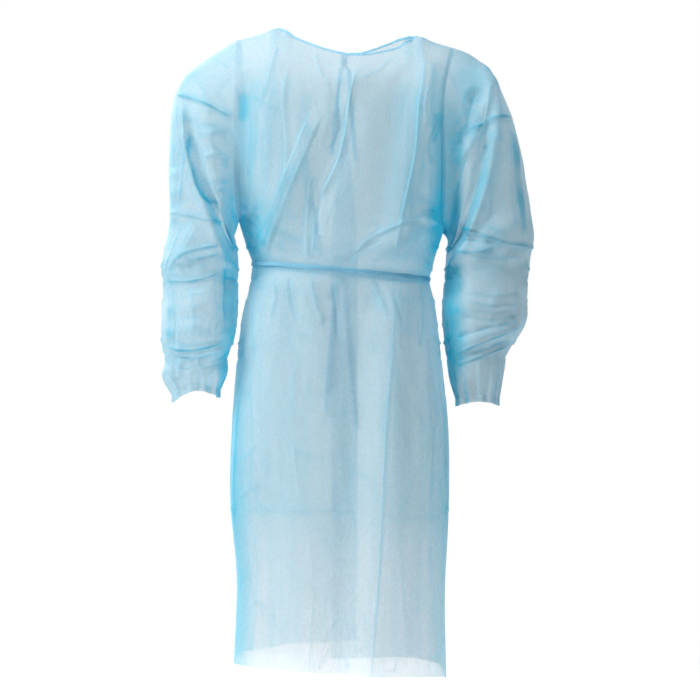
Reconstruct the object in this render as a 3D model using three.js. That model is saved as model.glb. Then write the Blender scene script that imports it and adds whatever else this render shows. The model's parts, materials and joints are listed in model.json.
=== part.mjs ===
// A disposable isolation gown, worn and hollow: thin non-woven cloth, tied at the neck and at the waist.
// Millimetres, +Z up, +X to the wearer's left, -Y to the front. The origin lies between the two points
// where the neck opening meets the shoulders, which is where the wearer's shoulders carry the gown.
import * as THREE from "three";

// ---- Driving dimensions ----
const WALL = 1.5; // thickness of the cloth walls
const SEAM = 0.3; // gap between two pieces that are sewn together
const GOWN_LENGTH = 1140; // shoulder to hem
const ARMPIT = 356; // depth of the armhole below the neck points
const LEAN = 0.055; // the gown hangs lower on the wearer's left by this share of the distance

const NECK_CORNER = { right: 124, left: 138 }; // from the middle to the neck seam on each shoulder
const NECK_LOW = 18; // the lowest point of the front neckline lies this far to the left
const NECK_DROP = { front: 59, back: 40 };
const NECK_POINT = -5; // height of the shoulder seam where it meets the neck
const SHOULDER_WIDTH = 70; // from the neck to the top of the armhole
const SHOULDER_FALL = { right: 25, left: 19 }; // over that width
const SHOULDER_ROLL = { front: 150, back: 135 }; // height over which the cloth turns over the shoulder

// The belt's slope is its extra drop towards the wearer's left, and out takes it clear of the panels.
const BELT = { height: 436, slope: 0.035, width: 11, out: WALL + 4 * SEAM };
const BINDING_WIDTH = 9;
const CUFF_HEIGHT = 13;

const SKIRT_ROWS = 16; // from the hem up to the belt
const WAIST_ROWS = 2; // from the belt up to the armpit
const ARMHOLE_ROWS = 11; // from the armpit up to the shoulder
const SHOULDER_COLUMNS = 3; // from the armhole to the neck point
const NECK_COLUMNS = 20; // from one neck point to the other, in front
const BACK_COLUMNS = 10; // from a neck point to the edge of a back panel
const SLEEVE_RINGS = 27;
const FINE_STEPS = 80; // steps used to measure a curve before it is divided evenly

const CLOTH_BLUE = "#a9d3e8";
const TRIM_BLUE = "#7cc0e2";
const DEGREE = Math.PI / 180;
const SHARP_TURN = 0.3; // cosine of the angle past which two pieces keep their own normals at a seam

// ---- Sections of the body ----
// z below the neck points; right and left: half widths to the side seam, or to the armhole above the
// armpit; spread: how far past the armhole the section would close; front and back: half depths;
// square: 2 is an ellipse, more is squarer.
const BODY_SECTIONS = [
  { z: -1150, right: 198, left: 184, spread: 0, front: 122, back: 132, square: 3.2 },
  { z: -1000, right: 192, left: 181, spread: 0, front: 122, back: 136, square: 3.1 },
  { z: -850, right: 204, left: 188, spread: 0, front: 126, back: 146, square: 2.9 },
  { z: -700, right: 200, left: 187, spread: 0, front: 126, back: 146, square: 2.7 },
  { z: -580, right: 190, left: 173, spread: 0, front: 119, back: 130, square: 2.5 },
  { z: -500, right: 177, left: 161, spread: 0, front: 109, back: 112, square: 2.4 },
  { z: -445, right: 165, left: 156, spread: 0, front: 100, back: 102, square: 2.4 },
  { z: -400, right: 176, left: 164, spread: 0, front: 108, back: 110, square: 2.4 },
  { z: -356, right: 189, left: 178, spread: 0, front: 117, back: 121, square: 2.4 },
  { z: -290, right: 193, left: 181, spread: 22, front: 126, back: 130, square: 2.4 },
  { z: -200, right: 193, left: 180, spread: 44, front: 129, back: 136, square: 2.4 },
  { z: -100, right: 193, left: 181, spread: 48, front: 124, back: 134, square: 2.4 },
  { z: 0, right: 193, left: 205, spread: 48, front: 120, back: 130, square: 2.4 },
];

// ---- Sections of the sleeves ----
// Each ring is an oval from its outer point to its inner point, as far as half to the front and back.
// middle: how far the ring's middle lies to the back. x is measured outwards.
const SLEEVE_SECTIONS = {
  right: [
    { along: 0.06, outX: 228, outZ: -41, inX: 196, inZ: -366, half: 97, middle: 3 },
    { along: 0.12, outX: 263, outZ: -66, inX: 199, inZ: -372, half: 98, middle: 2 },
    { along: 0.18, outX: 292, outZ: -97, inX: 197, inZ: -379, half: 96, middle: 1 },
    { along: 0.23, outX: 306, outZ: -128, inX: 194, inZ: -386, half: 94, middle: 0 },
    { along: 0.32, outX: 312, outZ: -190, inX: 192, inZ: -400, half: 90, middle: -2 },
    { along: 0.42, outX: 314, outZ: -265, inX: 190, inZ: -416, half: 86, middle: -5 },
    { along: 0.52, outX: 312, outZ: -345, inX: 190, inZ: -436, half: 82, middle: -8 },
    { along: 0.62, outX: 321, outZ: -440, inX: 190, inZ: -472, half: 80, middle: -13 },
    { along: 0.72, outX: 325, outZ: -505, inX: 192, inZ: -515, half: 76, middle: -18 },
    { along: 0.8, outX: 323, outZ: -562, inX: 197, inZ: -558, half: 70, middle: -22 },
    { along: 0.84, outX: 318, outZ: -590, inX: 208, inZ: -583, half: 56, middle: -24 },
    { along: 0.9, outX: 325, outZ: -622, inX: 208, inZ: -614, half: 56, middle: -26 },
    { along: 1, outX: 305, outZ: -657, inX: 223, inZ: -648, half: 36, middle: -27 },
  ],
  left: [
    { along: 0.06, outX: 233, outZ: -48, inX: 184, inZ: -372, half: 97, middle: 3 },
    { along: 0.12, outX: 262, outZ: -76, inX: 187, inZ: -378, half: 98, middle: 2 },
    { along: 0.18, outX: 284, outZ: -114, inX: 187, inZ: -385, half: 96, middle: 1 },
    { along: 0.25, outX: 302, outZ: -160, inX: 186, inZ: -394, half: 93, middle: 0 },
    { along: 0.34, outX: 318, outZ: -225, inX: 184, inZ: -406, half: 90, middle: -2 },
    { along: 0.44, outX: 329, outZ: -300, inX: 183, inZ: -421, half: 86, middle: -5 },
    { along: 0.53, outX: 335, outZ: -385, inX: 181, inZ: -441, half: 84, middle: -8 },
    { along: 0.62, outX: 331, outZ: -445, inX: 178, inZ: -472, half: 80, middle: -13 },
    { along: 0.72, outX: 325, outZ: -505, inX: 177, inZ: -518, half: 76, middle: -18 },
    { along: 0.79, outX: 315, outZ: -552, inX: 179, inZ: -558, half: 70, middle: -22 },
    { along: 0.83, outX: 294, outZ: -572, inX: 183, inZ: -584, half: 58, middle: -24 },
    { along: 0.9, outX: 286, outZ: -612, inX: 188, inZ: -624, half: 50, middle: -26 },
    { along: 1, outX: 276, outZ: -662, inX: 202, inZ: -663, half: 34, middle: -27 },
  ],
};
const SLEEVE_ROUND = 2.2; // 2 is an ellipse
const SET_IN = 0.16; // share of the sleeve over which it turns from the armhole's shape into an oval
const GATHERS = { waves: 11, high: 2.2, reach: 0.12 }; // waves that the elastic makes above each cuff

// ---- The lap of the back panels ----
// reach: how far each free edge goes past its top end; hemRise: how much higher its hem ends.
const LAP = { lift: 6, fade: 55, full: 420, start: 40, hemWidth: 190 };
const FREE_EDGE = {
  left: { top: 5, reach: -30, hemRise: -16 },
  right: { top: -5, reach: 30, hemRise: 22 },
};

// ---- Ties and knots at the back ----
const TIES = [
  { name: "neck_tie_left", x: 7, top: -56, length: 165, width: 9, spread: 14 },
  { name: "neck_tie_right", x: -7, top: -56, length: 150, width: 9, spread: -16 },
  { name: "waist_tie_left", x: 0, top: -452, length: 270, width: 11, spread: 22 },
  { name: "waist_tie_right", x: -16, top: -452, length: 240, width: 11, spread: -18 },
];
const KNOTS = [
  { name: "neck_knot", x: 0, z: -44, size: [20, 8, 16], out: 4.2 },
  { name: "waist_knot", x: -8, z: -436, size: [24, 10, 20], out: 4 },
];
const TAIL_STEPS = 10;
const TAIL_OUT = 4; // from the panel's points to the tail's outer face
// The cuff's edge rises by this much in front and behind, over this last share of the sleeve.
const CUFF_ARCH = { right: 17, left: 8, reach: 0.2 };

// ---- Folds ----
// A fold runs from one point to another over the face of a panel; high is how far it stands out, or in
// if negative, and wide is its half width. It fades out over its ends.
const FRONT_FOLDS = [
  { x1: 28, z1: -85, x2: -150, z2: -425, wide: 22, high: 13 }, // from the neck to the right of the waist
  { x1: 5, z1: -120, x2: -85, z2: -400, wide: 24, high: -13 }, // trough beside it
  { x1: 150, z1: -50, x2: 92, z2: -420, wide: 24, high: 14 }, // down the left of the chest
  { x1: 100, z1: -110, x2: 55, z2: -400, wide: 26, high: -10 },
  { x1: 90, z1: -440, x2: 45, z2: -1200, wide: 28, high: 18 }, // the ridge that falls to the hem
  { x1: 42, z1: -470, x2: -5, z2: -1200, wide: 34, high: -12 },
  { x1: 30, z1: -415, x2: 165, z2: -325, wide: 18, high: 9 }, // tension from the belt to the armpit
  { x1: -60, z1: -440, x2: -38, z2: -620, wide: 20, high: 10 }, // gathers under the belt
  { x1: -20, z1: -445, x2: -10, z2: -560, wide: 16, high: -7 },
  { x1: 55, z1: -445, x2: 82, z2: -580, wide: 20, high: -9 },
  { x1: -115, z1: -445, x2: -150, z2: -820, wide: 30, high: 11 },
  { x1: -165, z1: -600, x2: -120, z2: -1150, wide: 34, high: -9 },
  { x1: 150, z1: -460, x2: 128, z2: -1000, wide: 28, high: 9 },
  { x1: -172, z1: -110, x2: -168, z2: -390, wide: 20, high: -11 }, // along the right armhole
  { x1: -118, z1: -60, x2: -135, z2: -260, wide: 22, high: 8 },
];
const BACK_FOLDS = [
  { x1: -115, z1: -60, x2: -60, z2: -430, wide: 30, high: 13 },
  { x1: 115, z1: -60, x2: 75, z2: -430, wide: 30, high: 13 },
  { x1: -150, z1: -110, x2: -140, z2: -400, wide: 26, high: -10 },
  { x1: 150, z1: -110, x2: 140, z2: -400, wide: 26, high: -10 },
  { x1: -70, z1: -440, x2: -95, z2: -1200, wide: 36, high: 17 },
  { x1: 80, z1: -440, x2: 105, z2: -1200, wide: 36, high: 17 },
  { x1: -125, z1: -440, x2: -148, z2: -1200, wide: 28, high: -11 },
  { x1: 125, z1: -440, x2: 150, z2: -1200, wide: 28, high: -11 },
];
const FOLD_END = 0.2; // share of a fold over which it fades out at each end
const FOLD_FADE = { armhole: 0.12, cuff: 0.08 }; // shares of a sleeve over which its folds fade out
const UNROLLED = { degree: 1.45, length: 650 }; // millimetres round a sleeve for a degree, and its length
// On a sleeve, turn is the angle from the outer point, in degrees, towards the front.
const SLEEVE_FOLDS = {
  right: [
    { turn1: 40, along1: 0.16, turn2: 165, along2: 0.36, wide: 24, high: -12 }, // down to the armpit
    { turn1: 25, along1: 0.14, turn2: 130, along2: 0.46, wide: 22, high: 11 },
    { turn1: 0, along1: 0.62, turn2: 150, along2: 0.48, wide: 20, high: 11 }, // elbow
    { turn1: 15, along1: 0.68, turn2: 160, along2: 0.56, wide: 18, high: -11 },
    { turn1: 10, along1: 0.8, turn2: 170, along2: 0.78, wide: 16, high: 9 }, // pooled above the cuff
    { turn1: -40, along1: 0.26, turn2: -150, along2: 0.46, wide: 24, high: -12 },
    { turn1: -20, along1: 0.64, turn2: -150, along2: 0.54, wide: 20, high: 11 },
    { turn1: -20, along1: 0.76, turn2: -150, along2: 0.72, wide: 18, high: 8 },
  ],
  left: [
    { turn1: 20, along1: 0.1, turn2: 140, along2: 0.44, wide: 20, high: 13 },
    { turn1: 45, along1: 0.1, turn2: 165, along2: 0.36, wide: 20, high: -11 },
    { turn1: 0, along1: 0.52, turn2: 150, along2: 0.44, wide: 18, high: 11 }, // elbow
    { turn1: 15, along1: 0.6, turn2: 150, along2: 0.53, wide: 18, high: -9 },
    { turn1: 10, along1: 0.74, turn2: 165, along2: 0.68, wide: 16, high: 10 }, // pooled above the cuff
    { turn1: -40, along1: 0.26, turn2: -150, along2: 0.46, wide: 24, high: -12 },
    { turn1: -20, along1: 0.64, turn2: -150, along2: 0.54, wide: 20, high: 11 },
    { turn1: -20, along1: 0.74, turn2: -150, along2: 0.7, wide: 18, high: 8 },
  ],
};

// ---- Small helpers ----
const lerp = THREE.MathUtils.lerp;
const clamp01 = (v) => Math.min(1, Math.max(0, v));
const smooth = (v) => clamp01(v) ** 2 * (3 - 2 * clamp01(v));
const bump = (distance, wide) => Math.exp(-((distance / wide) ** 2));
const steps = (from, to, count) => Array.from({ length: count + 1 }, (_, i) => lerp(from, to, i / count));

// Every column of a table at a value of its key column, on a smooth curve through the rows.
function readTable(table, key, at) {
  const last = table.length - 1;
  let i = table.findIndex((row, n) => n < last && at <= table[n + 1][key]);
  if (i < 0) i = last - 1;
  const [a, b] = [table[i], table[i + 1]];
  const step = b[key] - a[key];
  const t = clamp01((at - a[key]) / step);
  const read = {};
  for (const column of Object.keys(a)) {
    const slope = (row, before, after) => (after[column] - before[column]) / (after[key] - before[key]) || 0;
    const slopeA = slope(a, table[Math.max(i - 1, 0)], b);
    const slopeB = slope(b, a, table[Math.min(i + 2, last)]);
    const t2 = t * t;
    const t3 = t2 * t;
    read[column] =
      a[column] * (2 * t3 - 3 * t2 + 1) +
      b[column] * (3 * t2 - 2 * t3) +
      step * (slopeA * (t3 - 2 * t2 + t) + slopeB * (t3 - t2));
  }
  return read;
}

// A value of x where rising(x) reaches the target, between low and high.
function solve(rising, target, low, high) {
  for (let i = 0; i < 40; i++) {
    const middle = (low + high) / 2;
    if (rising(middle) < target) low = middle;
    else high = middle;
  }
  return (low + high) / 2;
}

// The points of a curve, divided evenly along its length.
function divideEvenly(points, count) {
  const lengths = [0];
  for (let i = 1; i < points.length; i++) lengths.push(lengths[i - 1] + points[i].distanceTo(points[i - 1]));
  const total = lengths[lengths.length - 1];
  return steps(0, total, count).map((target) => {
    const i = Math.min(Math.max(lengths.findIndex((l) => l >= target), 1), points.length - 1);
    const t = (target - lengths[i - 1]) / (lengths[i] - lengths[i - 1] || 1);
    return points[i - 1].clone().lerp(points[i], clamp01(t));
  });
}

// The height that the folds give a point of a panel, from its distance to each fold's line.
function foldHeight(folds, x, z) {
  let height = 0;
  for (const { x1, z1, x2, z2, wide, high } of folds) {
    const length = Math.hypot(x2 - x1, z2 - z1);
    const along = ((x - x1) * (x2 - x1) + (z - z1) * (z2 - z1)) / length ** 2;
    const across = ((x - x1) * (z2 - z1) - (z - z1) * (x2 - x1)) / length;
    const fade = smooth(along / FOLD_END + 0.5) * smooth((1 - along) / FOLD_END + 0.5);
    height += high * bump(across, wide) * fade;
  }
  return height;
}

// ---- The form of the body ----
const FRONT = { name: "front", sign: -1, folds: FRONT_FOLDS };
const BACK = { name: "back", sign: 1, folds: BACK_FOLDS };

// Height of the shoulder line, and of the point where the roll over the shoulder starts at the neck.
function ridge(x) {
  const side = x < 0 ? "right" : "left";
  const past = (Math.abs(x) - NECK_CORNER[side]) / SHOULDER_WIDTH;
  return NECK_POINT - SHOULDER_FALL[side] * Math.max(past, 0) ** 0.8;
}

// Height of the neckline above a point between the two neck corners.
function neckline(face, x) {
  const corner = x < NECK_LOW ? -NECK_CORNER.right : NECK_CORNER.left;
  const share = clamp01((x - NECK_LOW) / (corner - NECK_LOW));
  return NECK_POINT - (NECK_DROP[face.name] + NECK_POINT) * (1 - share ** 1.8);
}

// A point of the body without its folds. across runs from -1 at the wearer's right edge of the panel to
// 1 at the left, by the angle seen from the middle.
function bodyBase(face, across, z) {
  const section = readTable(BODY_SECTIONS, "z", z);
  const edge = across < 0 ? section.right : section.left;
  const reach = edge + section.spread;
  const depth = section[face.name];
  const n = section.square;
  const edgeDepth = depth * Math.max(1 - (edge / reach) ** n, 0) ** (1 / n);
  const edgeAngle = Math.atan2(edgeDepth, edge);
  const angle = Math.PI / 2 - Math.abs(across) * (Math.PI / 2 - edgeAngle);
  const radius = ((Math.cos(angle) / reach) ** n + (Math.sin(angle) / depth) ** n) ** (-1 / n);
  const x = Math.sign(across) * radius * Math.cos(angle);
  const below = (ridge(x) - z) / SHOULDER_ROLL[face.name];
  const roll = Math.sqrt(1 - (1 - clamp01(below)) ** 2);
  return new THREE.Vector3(x, face.sign * radius * Math.sin(angle) * roll, z);
}

// The top end of a column of the panel, on the neckline or on the shoulder.
function columnTop(face, across) {
  let z = 0;
  for (let i = 0; i < 30; i++) {
    const { x } = bodyBase(face, across, z);
    const inNeck = x > -NECK_CORNER.right && x < NECK_CORNER.left;
    z = lerp(z, inNeck ? neckline(face, x) : ridge(x), 0.7);
  }
  return z;
}

// The column whose top end lies at x.
const columnAt = (face, x) => solve((across) => bodyBase(face, across, ridge(x)).x, x, -1, 1);

const beltLine = (x) => -BELT.height - BELT.slope * x;

// The folds stay flat near the side seams, armholes, shoulders, neck and belt, where other pieces meet.
function foldedPoint(face, across, point) {
  const beltAway = Math.abs(point.z - beltLine(point.x)) / 28;
  const flat = smooth((1 - Math.abs(across)) / 0.12) * smooth(beltAway) * smooth((-30 - point.z) / 60);
  const height = foldHeight(face.folds, point.x, point.z) * flat;
  const outwards = new THREE.Vector3(point.x * 0.35, point.y, 0).normalize();
  return point.clone().addScaledVector(outwards, height);
}

// The gown hangs lower on one side.
const leaned = (point) => new THREE.Vector3(point.x, point.y, point.z - LEAN * point.x);

// One column of a panel, from the hem to its top end. across is a function of z, and hem gives the
// height of the panel's hem at x.
function bodyColumn(face, across, hem) {
  const at = (z) => leaned(foldedPoint(face, across(z), bodyBase(face, across(z), z)));
  const top = columnTop(face, across(0));
  const low = hem(bodyBase(face, across(-GOWN_LENGTH), -GOWN_LENGTH).x);
  const middle = beltLine(bodyBase(face, across(-BELT.height), -BELT.height).x);
  const skirt = steps(low, middle, SKIRT_ROWS).map(at);
  const waist = steps(middle, -ARMPIT, WAIST_ROWS).slice(1).map(at);
  const curve = steps(0, 1, FINE_STEPS).map((t) => at(lerp(top, -ARMPIT, (1 - t) ** 2)));
  return [...skirt, ...waist, ...divideEvenly(curve, ARMHOLE_ROWS).slice(1)];
}

// ---- The front ----
// The columns that end on a shoulder, as shares across the panel, from the armhole to the neck.
function shoulderShares(face, side) {
  const sign = side === "left" ? 1 : -1;
  const edge = bodyBase(face, sign, columnTop(face, sign)).x;
  const stations = steps(edge, sign * NECK_CORNER[side], SHOULDER_COLUMNS);
  return stations.map((x, i) => (i ? columnAt(face, x) : sign));
}

function frontGrid() {
  const right = shoulderShares(FRONT, "right");
  const left = shoulderShares(FRONT, "left").reverse();
  const neck = steps(right[SHOULDER_COLUMNS], left[0], NECK_COLUMNS).slice(1, -1);
  return [...right, ...neck, ...left].map((share) => bodyColumn(FRONT, () => share, () => -GOWN_LENGTH));
}

// ---- The back, in two panels that lap over each other ----
const freeEdgeX = (side, z) => FREE_EDGE[side].top + FREE_EDGE[side].reach * smooth(-z / LAP.full);
const freeShare = (side, z) => solve((share) => bodyBase(BACK, share, z).x, freeEdgeX(side, z), -1, 1);

function backHem(side, x) {
  const near = 1 - clamp01(Math.abs(x - freeEdgeX(side, -GOWN_LENGTH)) / LAP.hemWidth);
  return -GOWN_LENGTH + FREE_EDGE[side].hemRise * near;
}

function backGrid(side) {
  const shares = shoulderShares(BACK, side);
  const corner = shares[SHOULDER_COLUMNS];
  const moving = steps(0, 1, BACK_COLUMNS).slice(1);
  const across = [
    ...shares.map((share) => () => share),
    ...moving.map((t) => (z) => lerp(corner, freeShare(side, z), t)),
  ];
  const grid = across.map((share) => bodyColumn(BACK, share, (x) => backHem(side, x)));
  return side === "left" ? grid : grid.reverse();
}

// The left panel is lifted off the right one where it lies over it.
function lapped(grid) {
  return grid.map((column) =>
    column.map((point) => {
      const near = smooth((freeEdgeX("right", point.z) + LAP.fade - point.x) / LAP.fade);
      const below = smooth(-(point.z + LAP.start) / LAP.fade);
      return point.clone().setY(point.y + LAP.lift * near * below);
    }),
  );
}

// ---- The sleeves ----
// The armhole's edge, up the front from the armpit to the shoulder and down the back.
function armholePoints(side, front, back) {
  const [frontEdge, backEdge] = side === "left" ? [front.at(-1), back[0]] : [front[0], back.at(-1)];
  const armpit = SKIRT_ROWS + WAIST_ROWS;
  const up = frontEdge.slice(armpit);
  const down = backEdge.slice(armpit + 1, -1).reverse();
  return [...up, ...down];
}

// turn is the angle seen from the middle of a ring: 0 at its outer point, 90 at the front.
function ovalPoint(row, turn, sign) {
  const [cos, sin] = [Math.cos(turn * DEGREE), Math.sin(turn * DEGREE)];
  const radius = (Math.abs(cos) ** SLEEVE_ROUND + Math.abs(sin) ** SLEEVE_ROUND) ** (-1 / SLEEVE_ROUND);
  const outer = (1 + radius * cos) / 2;
  const x = sign * lerp(row.inX, row.outX, outer);
  return new THREE.Vector3(x, row.middle - row.half * radius * sin, lerp(row.inZ, row.outZ, outer));
}

// The sections of a sleeve, with one for the armhole in front.
function sleeveTable(side, armhole) {
  const top = armhole[armhole.length / 2];
  const half = Math.max(...armhole.map((point) => Math.abs(point.y)));
  const ends = { outX: Math.abs(top.x), outZ: top.z, inX: Math.abs(armhole[0].x), inZ: armhole[0].z };
  return [{ along: 0, ...ends, half, middle: 0 }, ...SLEEVE_SECTIONS[side]];
}

// A sleeve's folds with both ends in millimetres on the unrolled sleeve, as a panel's are on its face.
const sleeveFolds = (side) =>
  SLEEVE_FOLDS[side].map(({ turn1, along1, turn2, along2, wide, high }) => ({
    x1: turn1 * UNROLLED.degree,
    z1: along1 * UNROLLED.length,
    x2: turn2 * UNROLLED.degree,
    z2: along2 * UNROLLED.length,
    wide,
    high,
  }));

// One ring of a sleeve, from the inner point round the front. It leaves the armhole's shape gradually.
function sleeveRing(side, armhole, along) {
  const sign = side === "left" ? 1 : -1;
  const columns = armhole.length;
  const folds = sleeveFolds(side);
  const table = sleeveTable(side, armhole);
  const row = readTable(table, "along", along);
  const centre = ovalPoint(row, 0, sign).lerp(ovalPoint(row, 180, sign), 0.5);
  return armhole.map((_, i) => {
    const turn = 180 - (360 * i) / columns;
    const point = ovalPoint(row, turn, sign);
    const seam = armhole[(i * armhole.length) / columns];
    const fromOval = armhole[i].clone().sub(ovalPoint(table[0], turn, sign));
    point.addScaledVector(fromOval, 1 - smooth(along / SET_IN));
    const unrolled = [turn * UNROLLED.degree, along * UNROLLED.length];
    const faded = smooth(along / FOLD_FADE.armhole) * smooth((1 - along) / FOLD_FADE.cuff - 1);
    const fold = faded * foldHeight(folds, ...unrolled);
    const wave = Math.cos((2 * Math.PI * GATHERS.waves * i) / columns);
    const gather = GATHERS.high * wave * smooth(1 - (1 - along) / GATHERS.reach);
    point.addScaledVector(point.clone().sub(centre).normalize(), fold + gather);
    point.z += CUFF_ARCH[side] * Math.sin(turn * DEGREE) ** 2 * smooth(1 - (1 - along) / CUFF_ARCH.reach);
    return point;
  });
}

// Columns run from the cuff up to the armhole, as a panel's do from the hem to its top.
function sleeveGrid(side, armhole) {
  const rings = steps(0, 1, SLEEVE_RINGS).map((along) => sleeveRing(side, armhole, along));
  armhole.forEach((point, i) => rings[0][i].copy(point));
  const grid = armhole.map((_, i) => rings.map((ring) => ring[i]).reverse());
  return side === "left" ? grid : grid.reverse();
}

// The casing of the elastic goes straight down from the sleeve's last ring.
function cuffGrid(side, armhole) {
  const ring = sleeveRing(side, armhole, 1);
  const drops = [SEAM + CUFF_HEIGHT, SEAM];
  const grid = ring.map((point) => drops.map((drop) => point.clone().setZ(point.z - drop)));
  return side === "left" ? grid : grid.reverse();
}

// ---- Closed walls from grids ----
// The outward normal at each point of a grid.
function gridNormals(grid, closed) {
  const count = grid.length;
  return grid.map((column, i) => {
    const before = closed ? grid[(i + count - 1) % count] : grid[Math.max(i - 1, 0)];
    const after = closed ? grid[(i + 1) % count] : grid[Math.min(i + 1, count - 1)];
    return column.map((_, j) => {
      const around = after[j].clone().sub(before[j]);
      const along = column[Math.min(j + 1, column.length - 1)].clone().sub(column[Math.max(j - 1, 0)]);
      return around.cross(along).normalize();
    });
  });
}

// Grids that share points along a seam get one normal there, so that their rims face each other. Where
// they turn sharply, as at the armpit, each keeps its own.
function shareNormals(surfaces) {
  const key = (point) => point.toArray().map((v) => Math.round(v * 10)).join(" ");
  const found = new Map();
  for (const { grid, normals } of surfaces) {
    grid.flat().forEach((point, n) => {
      const here = found.get(key(point)) ?? [];
      found.set(key(point), [...here, normals.flat()[n]]);
    });
  }
  for (const surface of surfaces) {
    surface.normals = surface.grid.map((column, i) =>
      column.map((point, j) => {
        const own = surface.normals[i][j];
        const alike = found.get(key(point)).filter((normal) => normal.dot(own) > SHARP_TURN);
        return alike.reduce((sum, normal) => sum.add(normal), new THREE.Vector3()).normalize();
      }),
    );
  }
}

// A copy of a grid with its seam edges drawn back, so that neighbouring walls stay apart.
function drawBack(grid, { sides = false, top = false }) {
  const pull = (point, towards) => point.clone().add(towards.clone().sub(point).setLength(SEAM / 2));
  let drawn = grid;
  if (sides) {
    const last = grid.length - 1;
    const first = grid[0].map((point, j) => pull(point, grid[1][j]));
    const end = grid[last].map((point, j) => pull(point, grid[last - 1][j]));
    drawn = [first, ...grid.slice(1, last), end];
  }
  if (top) drawn = drawn.map((column) => [...column.slice(0, -1), pull(column.at(-1), column.at(-2))]);
  return drawn;
}

// A mesh of a closed wall: the grid is its outer face, and its inner face lies behind it.
function wall(name, { grid, normals, closed = false, colour = CLOTH_BLUE }) {
  const [count, rows] = [grid.length, grid[0].length];
  const outer = grid.flat();
  const inner = outer.map((point, n) => point.clone().addScaledVector(normals.flat()[n], -WALL));
  const id = (i, j, face) => face * count * rows + (i % count) * rows + j;
  const index = [];
  const quad = (a, b, c, d) => index.push(a, b, c, a, c, d);
  const spans = closed ? count : count - 1;
  for (let i = 0; i < spans; i++) {
    for (let j = 0; j < rows - 1; j++) {
      quad(id(i, j, 0), id(i + 1, j, 0), id(i + 1, j + 1, 0), id(i, j + 1, 0));
      quad(id(i, j, 1), id(i, j + 1, 1), id(i + 1, j + 1, 1), id(i + 1, j, 1));
    }
    quad(id(i, 0, 0), id(i, 0, 1), id(i + 1, 0, 1), id(i + 1, 0, 0));
    quad(id(i, rows - 1, 0), id(i + 1, rows - 1, 0), id(i + 1, rows - 1, 1), id(i, rows - 1, 1));
  }
  for (let j = 0; j < rows - 1 && !closed; j++) {
    quad(id(0, j, 0), id(0, j + 1, 0), id(0, j + 1, 1), id(0, j, 1));
    quad(id(count - 1, j, 0), id(count - 1, j, 1), id(count - 1, j + 1, 1), id(count - 1, j + 1, 0));
  }
  const geometry = new THREE.BufferGeometry().setFromPoints([...outer, ...inner]);
  geometry.setIndex(index);
  return clothMesh(name, geometry, colour);
}

function clothMesh(name, geometry, color) {
  geometry.computeVertexNormals();
  const material = new THREE.MeshStandardMaterial({ color, roughness: 0.85, metalness: 0 });
  const mesh = new THREE.Mesh(geometry, material);
  mesh.name = name;
  return mesh;
}

// ---- Binding, belt, ties and knots ----
// A strip that carries on from the panels' top edges into the neck opening.
function neckBinding(front, backLeft, backRight) {
  const ends = ({ grid, normals }, from, to) =>
    grid.slice(from, to).map((column, n) => ({ point: column.at(-1), normal: normals[from + n].at(-1) }));
  const loop = [
    ...ends(backRight, 0, BACK_COLUMNS),
    ...ends(front, SHOULDER_COLUMNS, SHOULDER_COLUMNS + NECK_COLUMNS + 1),
    ...ends(backLeft, SHOULDER_COLUMNS + 1, SHOULDER_COLUMNS + BACK_COLUMNS + 1),
  ];
  const last = loop.length - 1;
  const grid = loop.map(({ point, normal }, i) => {
    const around = loop[Math.min(i + 1, last)].point.clone().sub(loop[Math.max(i - 1, 0)].point);
    const inwards = normal.clone().cross(around).normalize();
    return [SEAM, SEAM + BINDING_WIDTH].map((reach) => point.clone().addScaledVector(inwards, reach));
  });
  return { ...surface(grid), colour: TRIM_BLUE };
}

// A column of points at the belt's height on a panel, moved out so that a wall fits outside the panel.
function beltColumn({ grid, normals }, i) {
  const [below, middle, above] = grid[i].slice(SKIRT_ROWS - 1, SKIRT_ROWS + 2);
  return [below, above].map((end) => {
    const edge = middle.clone().add(end.clone().sub(middle).setLength(BELT.width / 2));
    return edge.addScaledVector(normals[i][SKIRT_ROWS], BELT.out);
  });
}

function beltRing(front, backLeft, backRight) {
  const all = (surface) => surface.grid.map((_, i) => beltColumn(surface, i));
  const lapEdge = all(backLeft).at(-1)[0].x;
  const grid = [
    ...all(front),
    ...all(backLeft).slice(1),
    ...all(backRight).slice(0, -1).filter(([edge]) => edge.x < lapEdge - BELT.width),
  ];
  return { ...surface(grid, true), colour: TRIM_BLUE };
}

// A point just outside the back, at x and z.
function onBack(panel, x, z, out) {
  const rowAt = (column) => Math.max(column.findIndex((point) => point.z > z), 1);
  const away = (column) => Math.abs(column[rowAt(column)].x - x);
  const column = panel.grid.reduce((best, other) => (away(other) < away(best) ? other : best));
  const i = rowAt(column);
  const t = clamp01((z - column[i - 1].z) / (column[i].z - column[i - 1].z));
  return new THREE.Vector3(x, lerp(column[i - 1].y, column[i].y, t) + out, z);
}

// A tie's end hangs from its knot, a little away from the panel.
function tieTail({ name, x, top, length, width, spread }, panel) {
  const grid = steps(0, 1, TAIL_STEPS).map((t) => {
    const middle = onBack(panel, x + spread * t, top - length * t, TAIL_OUT);
    return [-width / 2, width / 2].map((side) => middle.clone().setX(middle.x + side));
  });
  return wall(name, { ...surface(grid), colour: TRIM_BLUE });
}

function tiedKnot({ name, x, z, size, out }, panel) {
  const geometry = new THREE.SphereGeometry(0.5, 12, 8).scale(...size);
  const mesh = clothMesh(name, geometry, TRIM_BLUE);
  mesh.position.copy(onBack(panel, x, z, out + size[1] / 2));
  return mesh;
}

// ---- Assembly ----
const gown = new THREE.Group();
const surface = (grid, closed = false) => ({ grid, normals: gridNormals(grid, closed), closed });

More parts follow.
